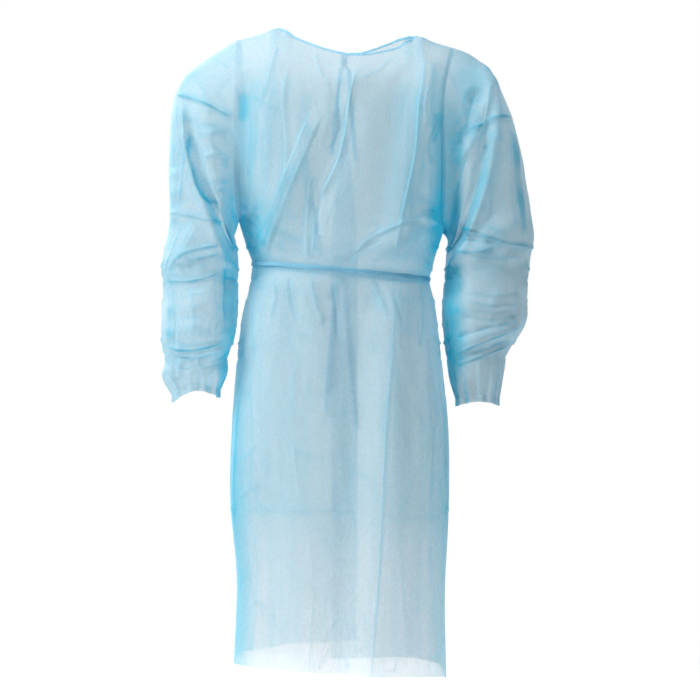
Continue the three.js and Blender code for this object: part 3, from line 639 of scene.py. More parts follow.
SLEEVE_FRONT_CREASES = [
    ("ridge", 26, -7.0, 0.3, (-282, -166, -268, -240, -250, -292, -222, -328)),
    ("ridge", 30, 6.0, 0.0, (-234, -180, -228, -240, -220, -300)),
    ("ridge", 26, 6.0, 0.0, (-296, -250, -290, -310, -296, -360)),
    ("ridge", 26, 7.0, 0.0, (-256, -356, -276, -396, -306, -436)),
    ("ridge", 24, -8.0, 0.2, (-288, -434, -256, -422, -218, -414)),
    ("ridge", 40, 7.0, 0.0, (-270, -470, -262, -520, -268, -560)),
    ("ridge", 20, -6.0, 0.5, (-200, -400, -206, -470, -202, -540)),
    ("ridge", 18, 7.0, 0.2, (-316, -574, -268, -584, -210, -572)),
    ("ridge", 18, -6.0, 0.4, (-312, -604, -262, -612, -214, -598)),
    ("ridge", 22, 7.0, 0.1, (258, -80, 246, -150, 228, -200, 192, -262)),
    # Partly painted shade: the deeper blue of this band and the next two is cloth bunched at the right
    # armhole and the shadow in the hollow between the right sleeve and the body.
    ("band", 38, -5.0, 1.6, (200, -84, 197, -160, 192, -240, 188, -320, 190, -430)),
    ("band", 36, -3.0, 1.2, (188, -360, 192, -470, 198, -560, 208, -680)),
    ("band", 50, -2.0, 1.1, (222, -20, 218, -110, 212, -170, 200, -260)),
    ("band", 26, -1.0, 1.1, (-304, -60, -306, -180, -310, -300, -318, -460)),
    # Painted shade: this band's deeper blue stands for the shadow on the right sleeve.
    ("band", 60, 2.0, 0.8, (256, -60, 252, -300, 254, -420, 256, -600)),
    ("band", 26, -3.0, 0.7, (-196, -240, -196, -340, -204, -430, -200, -500, -206, -600)),
    ("ridge", 34, -4.0, 0.1, (270, -200, 262, -280, 256, -360)),
    ("ridge", 24, 6.0, 0.0, (316, -180, 326, -280, 332, -370)),
    ("ridge", 22, -8.0, 0.5, (196, -372, 240, -378, 290, -396)),
    ("ridge", 26, 7.0, 0.0, (196, -396, 250, -414, 316, -412)),
    ("ridge", 26, 5.0, 0.0, (204, -470, 262, -482, 316, -474)),
    ("ridge", 22, -6.0, 0.3, (196, -500, 256, -512, 318, -500)),
    ("ridge", 22, 8.0, 0.1, (196, -572, 246, -552, 312, -526)),
    ("ridge", 20, -7.0, 0.5, (196, -596, 252, -574, 306, -556)),
    ("kink", 8, 5.4, 1.22, (-304, -122, -256, -138, -196, -168)),
    ("tuck", 9, 2.6, 0.58, (-302, -132, -296, -230, -300, -330)),
    ("ridge", 8, 2.7, 0.61, (-284, -140, -280, -230, -286, -326)),
    ("ridge", 14, -5.2, 0.96, (-272, -180, -262, -252, -242, -300, -214, -334)),
    ("ridge", 8, 3.6, 0.12, (-282, -164, -274, -246, -256, -300, -226, -340)),
    ("ridge", 8, 3.3, 0.35, (-246, -240, -224, -232, -200, -248)),
    ("kink", 8, 3.9, 0.61, (-314, -330, -264, -342, -206, -354)),
    ("ridge", 8, 3.6, 0.70, (-282, -346, -300, -400, -318, -444)),
    ("ridge", 8, 3.0, 0.35, (-262, -348, -284, -398, -310, -440)),
    ("kink", 8, 5.1, 1.04, (-322, -450, -292, -456, -250, -452, -214, -438)),
    ("ridge", 9, 4.2, 0.70, (-314, -444, -282, -410, -246, -398, -212, -394)),
    ("ridge", 16, -6.8, 0.70, (-276, -420, -244, -416, -212, -408)),
    ("tuck", 9, 3.3, 0.78, (-308, -462, -302, -520, -306, -566)),
    ("ridge", 14, -3.6, 0.35, (-226, -460, -218, -510, -226, -556)),
    ("kink", 8, 5.4, 1.22, (-318, -566, -280, -576, -238, -570, -206, -560)),
    ("ridge", 8, -3.9, 0.70, (-312, -584, -268, -590, -214, -580)),
    ("ridge", 8, 3.9, 0.52, (-296, -606, -262, -588, -250, -610)),
    ("ridge", 9, 4.5, 0.43, (262, -90, 252, -160, 236, -200, 196, -258)),
    ("ridge", 18, -7.5, 0.78, (236, -110, 218, -172, 194, -226)),
    ("kink", 8, 5.1, 1.22, (304, -162, 270, -166, 236, -182, 200, -194)),
    ("tuck", 7, 3.2, 1.30, (298, -168, 304, -250, 312, -330, 322, -388)),
    ("kink", 8, 4.8, 1.13, (338, -392, 284, -388, 236, -372, 196, -356)),
    ("ridge", 9, 3.9, 0.87, (186, -404, 248, -400, 284, -384)),
    ("ridge", 12, -4.2, 0.70, (196, -380, 246, -386, 276, -394)),
    ("ridge", 8, 3.6, 0.52, (178, -408, 196, -440, 206, -470)),
    ("ridge", 14, 3.3, 0.12, (206, -488, 262, -500, 316, -494)),
    ("ridge", 14, -3.3, 0.35, (200, -516, 256, -524, 318, -512)),
    ("kink", 8, 5.1, 1.04, (192, -586, 246, -562, 296, -540, 318, -534)),
    ("kink", 8, 4.8, 0.87, (196, -604, 252, -584, 300, -566)),
    ("ridge", 8, -4.2, 0.70, (194, -556, 244, -540, 300, -526)),
    ("ridge", 8, 3.3, 0.52, (208, -610, 216, -640, 212, -668)),
]
BACK_CREASES = [
    ("band", 44, -2.0, 1.2, (-184, -360, -198, -600, -202, -800, -198, -1300)),
    ("band", 36, -2.0, 1.0, (176, -360, 192, -600, 196, -800, 192, -1300)),
    ("band", 50, -2.0, 0.8, (-192, -60, -190, -160, -186, -260, -172, -420)),
    ("band", 46, -2.0, 0.9, (190, -60, 184, -200, 178, -300, 170, -440)),
    ("tuck", 9, 3.0, 0.8, (-64, -70, -80, -170, -66, -290, -44, -428)),
    ("kink", 10, 3.0, 0.45, (118, -56, 104, -160, 96, -300, 72, -430)),
    ("ridge", 12, -3.6, 0.2, (-120, -110, -116, -220, -128, -330)),
    ("ridge", 9, 2.4, 0.1, (-150, -150, -138, -260, -146, -380)),
    ("kink", 7, 2.8, 0.5, (-20, -418, -60, -384, -120, -356, -172, -338)),
    ("kink", 7, 2.6, 0.5, (44, -424, 84, -392, 140, -362, 176, -348)),
    ("ridge", 9, 2.2, 0.1, (60, -90, 44, -170, 56, -260)),
    ("ridge", 8, 2.4, 0.2, (-96, -448, -104, -500, -96, -580)),
    ("ridge", 7, -2.0, 0.2, (-66, -448, -60, -510, -70, -570)),
    ("ridge", 8, 2.4, 0.2, (60, -448, 70, -500, 62, -590)),
    ("ridge", 8, 2.2, 0.2, (118, -448, 126, -500, 120, -560)),
    ("ridge", 7, -2.0, 0.1, (92, -448, 96, -500, 88, -552)),
    ("kink", 10, 1.6, 0.2, (-92, -560, -104, -720, -96, -900, -110, -1140)),
    ("kink", 10, 1.6, 0.2, (96, -580, 112, -740, 104, -920, 118, -1140)),
    ("kink", 8, 1.0, 0.15, (-186, -858, -110, -862, -24, -856)),
    ("kink", 8, 1.0, 0.12, (30, -862, 110, -858, 186, -864)),
    ("ridge", 10, 2.0, 0.15, (-150, -520, -158, -680, -150, -840)),
    ("ridge", 10, 2.0, 0.15, (148, -520, 156, -680, 150, -850)),
    ("ridge", 9, 1.8, 0.1, (-40, -880, -32, -1000, -44, -1130)),
    ("kink", 7, 3.2, 0.6, (-304, -150, -256, -160, -200, -180)),
    ("kink", 7, 3.2, 0.6, (304, -150, 252, -164, 200, -182)),
    ("ridge", 12, -4.0, 0.4, (-268, -190, -252, -270, -212, -338)),
    ("ridge", 12, -4.0, 0.4, (262, -196, 246, -276, 208, -330)),
    ("tuck", 7, 2.2, 0.6, (-298, -176, -304, -280, -312, -372)),
    ("tuck", 7, 2.2, 0.6, (300, -176, 308, -280, 316, -370)),
    ("kink", 7, 3.0, 0.55, (-322, -402, -270, -392, -208, -380)),
    ("kink", 7, 3.0, 0.55, (336, -394, 270, -400, 200, -386)),
    ("ridge", 8, 2.4, 0.3, (-316, -446, -262, -432, -214, -440)),
    ("ridge", 8, 2.4, 0.3, (330, -446, 270, -436, 206, -446)),
    ("kink", 7, 3.0, 0.5, (-318, -566, -264, -576, -206, -562)),
    ("kink", 7, 3.0, 0.5, (318, -546, 262, -566, 196, -580)),
    ("ridge", 7, -2.4, 0.3, (-312, -588, -262, -594, -214, -584)),
    ("ridge", 7, -2.4, 0.3, (306, -580, 256, -592, 204, -604)),
]
SIDE_CREASES = [  # seen from each side: (y, z, y, z, ...)
    ("tuck", 7, 1.6, 0.4, (34, -150, 40, -260, 30, -370)),
    ("kink", 7, 3.0, 0.6, (-60, -398, 0, -392, 60, -404)),
    ("kink", 7, 2.6, 0.5, (-64, -420, -6, -432, 58, -424)),
    ("ridge", 8, -2.6, 0.3, (-58, -446, 4, -452, 56, -444)),
    ("kink", 7, 3.0, 0.5, (-62, -552, -8, -566, 50, -556)),
    ("ridge", 7, -2.6, 0.3, (-58, -582, -4, -592, 50, -584)),
    ("ridge", 10, 2.0, 0.1, (-20, -480, -14, -510, -22, -540)),
    ("ridge", 10, 2.0, 0.15, (-46, -640, -52, -760, -44, -900)),
    ("ridge", 9, 1.8, 0.15, (44, -620, 52, -800, 42, -1000)),
    ("kink", 8, 1.6, 0.3, (-70, -858, 0, -862, 70, -858)),
]
BY_HAND = FRONT_CREASES + SLEEVE_FRONT_CREASES + BACK_CREASES + 2 * SIDE_CREASES
print("creases placed by hand", len(BY_HAND))

# %% How high a crease stands at each point
VIEWS = {  # across axis, and the direction from which the crease is seen
    "front": (0, np.array([0, -1, 0])),
    "back": (0, np.array([0, 1, 0])),
    "right": (1, np.array([-1, 0, 0])),
    "left": (1, np.array([1, 0, 0])),
}
CROSS_SECTIONS = {  # height at t, which runs from -1 to 1 across the crease
    "ridge": lambda t: np.clip(1 - np.abs(t), 0, 1) ** 1.5,
    "band": lambda t: np.cos(np.clip(np.abs(t), 0, 1) * math.pi / 2) ** 1.6,
    "tuck": lambda t: np.clip((1 - np.abs(t)) * 3.2, 0, 1) ** 1.2,
    "kink": lambda t: np.where(t < 0, np.clip(1 + t / 0.3, 0, 1), np.clip(1 - t, 0, 1) ** 1.7),
}
LINE_STEPS = 10
FOLD_LINE = 0.8  # how much deeper the blue is right on the line of a fold
FOLD_LINE_WIDTH = 0.35  # how far that reaches, as a share of the crease's width
BAND_END, CREASE_END = 0.32, 0.16  # the share of its length over which each end fades
HEIGHT_FACING = (0.02, 0.45)  # cloth that faces the view this much gets a crease's height
TONE_FACING = (-0.45, 0.35)  # and its tone, which reaches further round


def smooth_step(a, b, value):
    t = np.clip((value - a) / (b - a), 0, 1)
    return t * t * (3 - 2 * t)


def crease_line(points):
    """A smooth line through a crease's points, in metres, and how far along it each point lies."""
    points = np.array(points, float).reshape(-1, 2) * MM
    line = finer(points, LINE_STEPS, 0)
    along = np.concatenate([[0], np.cumsum(np.linalg.norm(np.diff(line, axis=0), axis=1))])
    return line, along / along[-1]


def nearest_on_line(spot, line, along):
    """For each spot its distance to the line, the side it lies on, and its share of the way along."""
    best, side, share = np.full(len(spot), np.inf), np.zeros(len(spot)), np.zeros(len(spot))
    for p, q, start, end in zip(line[:-1], line[1:], along[:-1], along[1:]):
        d = q - p
        t = np.clip(((spot - p) @ d) / max(d @ d, TINY), 0, 1)
        off = spot - p - t[:, None] * d
        far = np.linalg.norm(off, axis=1)
        closer = far < best
        best[closer] = far[closer]
        side[closer] = np.sign(d[0] * off[closer, 1] - d[1] * off[closer, 0])
        share[closer] = (start + (end - start) * t)[closer]
    return best, side, share


def lay_crease(height, layers_and_shade, seen, facing, crease):
    """Adds one crease to the heights, and to the layers with painted shade, of the points that it reaches."""
    shape, width, high, blue, points = crease
    width, high = width * MM, high * MM
    line, along = crease_line(points)
    inside = (seen > line.min(0) - 2 * width).all(axis=1) & (seen < line.max(0) + 2 * width).all(axis=1)
    near = np.flatnonzero(inside & (facing > TONE_FACING[0]))
    if not len(near):
        return
    best, side, share = nearest_on_line(seen[near], line, along)
    if shape == "band":
        fade, uneven, on_line = BAND_END, 1.0, 0.0
    else:
        fade, uneven = CREASE_END, 0.8 + 0.2 * np.sin(share * 17 + 40 * width + points[0])
        on_line = np.clip(1 - best / width / FOLD_LINE_WIDTH, 0, 1)
    strength = smooth_step(0, fade, share) * smooth_step(0, fade, 1 - share) * uneven
    section = CROSS_SECTIONS[shape](side * best / width)
    height[near] += high * strength * section * smooth_step(*HEIGHT_FACING, facing[near])
    tone = blue * strength * (section + FOLD_LINE * on_line) * smooth_step(*TONE_FACING, facing[near])
    layers_and_shade[near] = np.maximum(layers_and_shade[near], tone)


# %% [markdown]
# Between the main creases the cloth is never quite flat: it keeps hundreds of small crinkles. They
# follow no plan, so they are scattered by a seeded random generator, short and low, more of them
# running down the cloth than across it. The seed makes each run of this script give the same gown.

# %% Scatter the small crinkles
CRINKLES = np.random.default_rng(11)
CRINKLE_VIEWS = {"front": (170, 350), "back": (170, 350), "right": (60, 90), "left": (60, 90)}
CRINKLE_LENGTH, CRINKLE_WIDTH, CRINKLE_HEIGHT = (26, 110), (6, 15), (0.2, 0.7)
CRINKLE_LAYERS = (0, 0.18)
CRINKLE_BOW = 0.12  # how far its middle stands aside, as a share of its length
CRINKLE_TURN = 0.75  # the spread of its direction round straight down, in radians
KINK_SHARE = 0.4
BODY_HALF = 200  # further out than this it lies on a sleeve
BODY_HEIGHTS, SLEEVE_HEIGHTS = (-1150, -20), (-670, -60)


def scattered(view):
    """The small crinkles of one view: how many there are and how far out they lie is its own."""
    count, half = CRINKLE_VIEWS[view]
    creases = []
    for _ in range(count):
        across = CRINKLES.uniform(-half, half)
        z = CRINKLES.uniform(*(BODY_HEIGHTS if abs(across) < BODY_HALF else SLEEVE_HEIGHTS))
        turn = CRINKLES.normal(math.pi / 2, CRINKLE_TURN)
        length = CRINKLES.uniform(*CRINKLE_LENGTH)
        bow = CRINKLES.uniform(-CRINKLE_BOW, CRINKLE_BOW) * length
        step = np.array([math.cos(turn), math.sin(turn)]) * length / 2
        middle = np.array([across, z]) + np.array([-step[1], step[0]]) / length * bow * 2
        points = (across - step[0], z - step[1], *middle, across + step[0], z + step[1])
        shape = "kink" if CRINKLES.random() < KINK_SHARE else "ridge"
        high = CRINKLES.choice([-1, 1]) * CRINKLES.uniform(*CRINKLE_HEIGHT)
        width, layers_and_shade = CRINKLES.uniform(*CRINKLE_WIDTH), CRINKLES.uniform(*CRINKLE_LAYERS)
        creases.append((shape, width, high, layers_and_shade, points))
    return creases


CREASES = {
    "front": FRONT_CREASES + SLEEVE_FRONT_CREASES + scattered("front"),
    "back": BACK_CREASES + scattered("back"),
    "right": SIDE_CREASES + scattered("right"),
    "left": SIDE_CREASES + scattered("left"),
}
print("creases and crinkles", sum(len(c) for c in CREASES.values()))

# %% [markdown]
# ## Lay the creases on the cloth
# All the creases are laid on all the pieces at once, in one shared set of heights, so a crease that
# runs over a seam goes on in the next piece. Under the belt the cloth is drawn in a little, near
# the neck binding it stays flat, and above each cuff the elastic gathers it into narrow pleats.
# Two more fields are kept for the material: how much cloth lies double at a point, with the
# bands' painted shade added into it, and how far it is turned away from the front and the back,
# where more threads stand in the way of the light.

# %% Belt line, neck and cuffs
BELT_DRAWN_IN = 2.4 * MM
BELT_REACH = 15 * MM
BELT_CLEAR = (0.002, 0.022)  # creases fade in between these distances from the belt
NECK_CLEAR = (4 * MM, 30 * MM)  # and from the neck binding
NECK_HALF, NECK_LOW = 0.2, -0.17  # only cloth in here is near enough to the neck to measure
belt_points = walls["waist_belt"].reshape(-1, 3)
belt_terms = np.c_[belt_points[:, :2], np.ones(len(belt_points))]
belt_plane = np.linalg.lstsq(belt_terms, belt_points[:, 2], rcond=None)[0]
neck_tree = kdtree.KDTree(neck.shape[0] * neck.shape[1])
for i, point in enumerate(neck.reshape(-1, 3)):
    neck_tree.insert(Vector(point), i)
neck_tree.balance()


def above_belt(points):
    return points[:, 2] - (points[:, :2] @ belt_plane[:2] + belt_plane[2])


def from_neck(points):
    """Distance to the neck binding, worked out only where it matters."""
    far = np.full(len(points), 1.0)
    near = np.flatnonzero((np.abs(points[:, 0]) < NECK_HALF) & (points[:, 2] > NECK_LOW))
    for i in near:
        far[i] = neck_tree.find(Vector(points[i]))[2]
    return far


print("belt line leans", round(float(np.degrees(np.arctan(np.hypot(*belt_plane[:2])))), 1), "degrees")

# %% Gathers at the cuffs
FINE_PLEATS = (21, 1.0 * MM, 30 * MM)  # how many, how high, and how far up they reach
BROAD_PLEATS = (9, 2.6 * MM, 60 * MM)
BROAD_SHIFT = 0.31  # the broad ones start this share of the way round from the fine ones
GATHERS_FROM = 0.03  # listed creases fade in over this height above the cuff
BROAD_FROM = 0.04


def gathers(turn, drop, pleats, high, reach):
    """Uneven pleats round a sleeve: turn is the share of the way round, drop the height above the cuff."""
    once = 2 * math.pi * turn
    wander = 2.1 * np.sin(3 * once) + 1.3 * np.sin(7 * once + 1)
    uneven = 0.65 + 0.35 * np.sin(5 * once + 2)
    return high * np.cos(pleats * once + wander) * uneven * np.exp(-drop / reach)


def with_gathers(name, height):
    """A sleeve's or a cuff's heights with the pleats that its elastic draws up."""
    grid = cloth[name]
    turn = (np.arange(grid.shape[0]) / grid.shape[0])[:, None]
    drop = np.linalg.norm(grid - grid[:, :1], axis=2)
    if name.startswith("cuff"):
        return height + gathers(turn, 0 * drop, *FINE_PLEATS)
    height = height * smooth_step(0.0, GATHERS_FROM, drop) + gathers(turn, drop, *FINE_PLEATS)
    return height + gathers(turn + BROAD_SHIFT, drop, *BROAD_PLEATS) * smooth_step(0, BROAD_FROM, drop)


# %% Fields of every piece: heights, layers with painted shade, and how far it is turned
TUBE_TONE = 0.36  # sleeves and cuffs sag on themselves and lie denser all over
DRAWN_TONE = 0.34  # the body lies denser than the hem, as the belt draws it in
DRAWN_FROM, DRAWN_TO = (-0.99, -0.84), (-0.03, -0.14)  # heights over which that tone comes and goes
TURNED = (0.35, 1.0)  # the part of the normal that points sideways, from little to all
SKIRT_TURNED, SKIRT_TOP = 0.35, (-0.50, -0.38)  # the skirt's sides hang in one layer
SLEEVE_INNER = (0.295, 0.235)  # only the side of a sleeve next to the body counts as turned


def turned_away(name, grid, normals):
    turned = smooth_step(*TURNED, np.abs(normals[..., 0]))
    if "panel" in name:
        return turned * (SKIRT_TURNED + (1 - SKIRT_TURNED) * smooth_step(*SKIRT_TOP, grid[..., 2]))
    return turned * smooth_step(*SLEEVE_INNER, np.abs(grid[..., 0]))


def creased(name, points, normal):
    """The heights, and the layers with painted shade, that all the creases give the points of a piece."""
    height, layers_and_shade = np.zeros(len(points)), np.zeros(len(points))
    if name.startswith("cuff"):
        return height, layers_and_shade
    for view, (axis, look) in VIEWS.items():
        for crease in CREASES[view]:
            lay_crease(height, layers_and_shade, points[:, [axis, 2]], normal @ look, crease)
    return height, layers_and_shade


def crease_fields():
    """For each piece of cloth the height of its creases, its layers with painted shade, and how far it is
    turned.
    """
    heights, layer_and_shade_fields, turned_fields = {}, {}, {}
    for name, grid in cloth.items():
        normals = normals_of(grid, name in TUBES)
        turned_fields[name] = turned_away(name, grid, normals)
        points = grid.reshape(-1, 3)
        height, layers_and_shade = creased(name, points, normals.reshape(-1, 3))
        if name in TUBES:
            layers_and_shade = np.maximum(layers_and_shade, TUBE_TONE)
            heights[name] = with_gathers(name, height.reshape(grid.shape[:2]))
        else:
            drawn = smooth_step(*DRAWN_FROM, points[:, 2]) * smooth_step(*DRAWN_TO, points[:, 2])
            layers_and_shade = np.maximum(layers_and_shade, DRAWN_TONE * drawn)
            away = above_belt(points)
            height *= smooth_step(*BELT_CLEAR, np.abs(away))
            height *= smooth_step(*NECK_CLEAR, from_neck(points))
            height -= BELT_DRAWN_IN * np.exp(-((away / BELT_REACH) ** 2))
            heights[name] = height.reshape(grid.shape[:2])
        layer_and_shade_fields[name] = layers_and_shade.reshape(grid.shape[:2])
    return heights, layer_and_shade_fields, turned_fields


def move_along_normals(heights):
    normals = {name: normals_of(grid, name in TUBES) for name, grid in cloth.items()}
    share_at_seams(normals, unit=True)
    share_at_seams(heights)
    for name, grid in cloth.items():
        grid += normals[name] * heights[name][..., None]


heights, layer_and_shade_fields, turned_fields = crease_fields()
move_along_normals(heights)
share_at_seams(layer_and_shade_fields)
share_at_seams(turned_fields)
close_seams()
for name, height in heights.items():
    lowest, highest = (round(float(end) / MM, 1) for end in (height.min(), height.max()))
    print(name, "creased from", lowest, "to", highest, "mm")

# %% [markdown]
# ## From a grid to a mesh
# Each finished grid becomes a mesh with what its material reads: a UV map measured in metres along
# the cloth, so that fibres and bond points keep their real size on every piece, the two fields
# above, and an attribute that says how sharply the cloth bends, because folded non-woven looks
# deeper in colour there. The bend is how far a point stands off the middle of its neighbours.

# %% Bend, UV map and mesh
BEND_SPAN = 2  # neighbours this far away give the bend
BEND_FULL = 0.6 * MM  # standing off by this much counts as a full fold


def bend_of(grid, closed, span=BEND_SPAN):
    """How sharply the cloth bends at each point, from 0 to 1."""
    if closed:
        padded = np.concatenate([grid[-span:], grid, grid[:span]])
    else:
        padded = np.pad(grid, ((span, span), (0, 0), (0, 0)), mode="edge")
    across = (padded[2 * span :] + padded[: -2 * span]) / 2 - grid
    up = np.pad(grid, ((0, 0), (span, span), (0, 0)), mode="edge")
    along = (up[:, 2 * span :] + up[:, : -2 * span]) / 2 - grid
    if not closed:
        across[:span] = across[-span:] = 0
    along[:, :span] = along[:, -span:] = 0
    normals = normals_of(grid, closed)
    bend = np.abs((across * normals).sum(axis=2)) + np.abs((along * normals).sum(axis=2))
    return np.clip(bend / BEND_FULL, 0, 1)


def lengths(grid, axis, closed=False):
    """Metres along the grid's lines from their start, with the closing step last on a tube."""
    line = np.moveaxis(grid, axis, 0)
    if closed:
        line = np.concatenate([line, line[:1]])
    steps = np.linalg.norm(np.diff(line, axis=0), axis=2)
    run = np.concatenate([np.zeros((1, steps.shape[1])), np.cumsum(steps, axis=0)])
    return run if axis == 0 else run.T


def grid_mesh(name, grid, material, closed=False, fields=None):
    """A mesh object from a grid, its faces turned outwards, with UV in metres and point attributes."""
    columns, rows = grid.shape[:2]
    number = np.arange(columns * rows).reshape(columns, rows)
    i = np.arange(columns if closed else columns - 1)
    after = (i + 1) % columns
    a, b = number[i][:, :-1], number[after][:, :-1]
    c, d = number[after][:, 1:], number[i][:, 1:]
    quads = np.stack([a, b, c, d], axis=-1).reshape(-1, 4)
    mesh = bpy.data.meshes.new(name)
    mesh.vertices.add(columns * rows)
    mesh.vertices.foreach_set("co", grid.reshape(-1).astype(np.float32))
    mesh.loops.add(quads.size)
    mesh.loops.foreach_set("vertex_index", quads.reshape(-1).astype(np.int32))
    mesh.polygons.add(len(quads))
    mesh.polygons.foreach_set("loop_start", np.arange(0, quads.size, 4, dtype=np.int32))
    mesh.polygons.foreach_set("use_smooth", np.ones(len(quads), bool))
    u = lengths(grid, 0, closed)
    u = np.repeat(u.mean(axis=1, keepdims=True), rows, axis=1)
    v = lengths(grid, 1)
    v = np.concatenate([v, v[:1]]) if closed else v
    uv = np.stack([u, v], axis=-1)
    corner = np.stack([uv[i][:, :-1], uv[i + 1][:, :-1], uv[i + 1][:, 1:], uv[i][:, 1:]], axis=2)
    layer = mesh.uv_layers.new(name="cloth")
    layer.data.foreach_set("uv", corner.reshape(-1).astype(np.float32))
    for field, values in (fields or {}).items():
        data = mesh.attributes.new(field, "FLOAT", "POINT").data
        data.foreach_set("value", values.reshape(-1).astype(np.float32))
    mesh.materials.append(material)
    mesh.update()
    mesh.validate()
    piece = bpy.data.objects.new(name, mesh)
    bpy.context.scene.collection.objects.link(piece)
    return piece

# %% [markdown]
# ## The cloth's material
# Spun-bonded non-woven is half fibre and half air. Some light goes straight through between the
# fibres, and the rest is scattered, partly back and partly on through the sheet. So the shader is
# a Transparent BSDF for the gaps mixed with a Principled and a Translucent BSDF for the fibres.
# What drives the mix is the web itself: soft clouds where fibres lie thick or thin, the fibres'
# own streaks along the cloth, and the grid of tiny points where heat has bonded them. Where one
# layer of cloth covers another the blue deepens by itself, as it does on the real gown. In a fold
# the layers lie too close to be modelled, so there the attributes add fibre and a deeper blue.
# They add the same as painted shade where some bands stand for the shadow on the right of the
# gown and down the middle of the chest.

# %% A Math node in one line
def math_node(tree, operation, *values, clamp=False):
    """A Math node fed by numbers or sockets; returns its output."""
    made = add_node(tree, "ShaderNodeMath", operation=operation, use_clamp=clamp)
    for socket, value in zip(made.inputs, values):
        if isinstance(value, (int, float)):
            socket.default_value = value
        else:
            tree.links.new(value, socket)
    return made.outputs[0]


# %% The web, on the cloth's own UV map in metres
CLOUDS = {"Scale": 170, "Detail": 4, "Roughness": 0.65}
FIBRES = {"Scale": 640, "Detail": 4, "Roughness": 0.75, "Distortion": 1.2}
BOND_POINTS = {"Scale": 600, "Randomness": 0.0}
BOND_EDGE = {"From Min": 0.16, "From Max": 0.3, "To Min": 1.0, "To Max": 0.0}


def web_pattern(tree):
    """Clouds, fibres and bond points of the web, each from 0 to 1."""
    uv = add_node(tree, "ShaderNodeUVMap", uv_map="cloth").outputs[0]
    along = add_node(tree, "ShaderNodeMapping", {"Scale": (1, 0.7, 1)})
    clouds = add_node(tree, "ShaderNodeTexNoise", CLOUDS, noise_dimensions="2D")
    fibres = add_node(tree, "ShaderNodeTexNoise", FIBRES, noise_dimensions="2D")
    bonds = add_node(tree, "ShaderNodeTexVoronoi", BOND_POINTS, voronoi_dimensions="2D", feature="F1")
    point = add_node(tree, "ShaderNodeMapRange", BOND_EDGE)
    link(
        tree,
        (uv, along.inputs["Vector"]),
        (uv, bonds.inputs["Vector"]),
        (along.outputs[0], clouds.inputs["Vector"]),
        (along.outputs[0], fibres.inputs["Vector"]),
        (bonds.outputs["Distance"], point.inputs["Value"]),
    )
    return clouds.outputs[0], fibres.outputs[0], point.outputs[0]


# %% Non-woven film, thin or doubled, with deeper blue as painted shade where the bands put it
LIGHT_BLUE = (0.61, 0.72, 0.76, 1)
DEEP_BLUE = (0.03, 0.51, 0.70, 1)
WEB_CLOUDS, WEB_FIBRES = 0.28, 0.17  # how far each makes the web denser or thinner
FOLD_BEND, FOLD_LAYERS_AND_SHADE = 0.32, 0.5  # what a sharp bend and the layers field count as a fold; that field carries painted shade too
COVER_FOLD_AND_SHADE, COVER_TURNED, COVER_BOND = 0.4, 0.24, -0.05  # fibre added by each
COVER_LEAST, COVER_MOST = 0.06, 0.97
BLUE_WEB, BLUE_FOLD_AND_SHADE, BLUE_TURNED = 0.2, 0.8, 0.45  # how far each deepens the blue
RELIEF_FIBRES, RELIEF_BOND = 0.7, -0.6
FIBRE = {"Roughness": 0.62, "Specular IOR Level": 0.32, "Sheen Weight": 0.6, "Sheen Roughness": 0.45}
FIBRE["Sheen Tint"] = (0.5, 0.85, 1, 1)
THROUGH = 0.42  # the share of the scattered light that goes on through the sheet
GAPS = (0.94, 0.957, 0.972, 1)


def field(tree, name):
    return add_node(tree, "ShaderNodeAttribute", attribute_name=name).outputs["Fac"]


def blue_between(tree, light, deep, depth):
    """A colour between light and deep. A Mix node has an A and a B for every kind of data."""
    mix = add_node(tree, "ShaderNodeMix", data_type="RGBA")
    for socket in mix.inputs:
        if socket.type == "RGBA":
            socket.default_value = light if socket.name == "A" else deep
    tree.links.new(depth, mix.inputs["Factor"])
    return next(socket for socket in mix.outputs if socket.type == "RGBA")


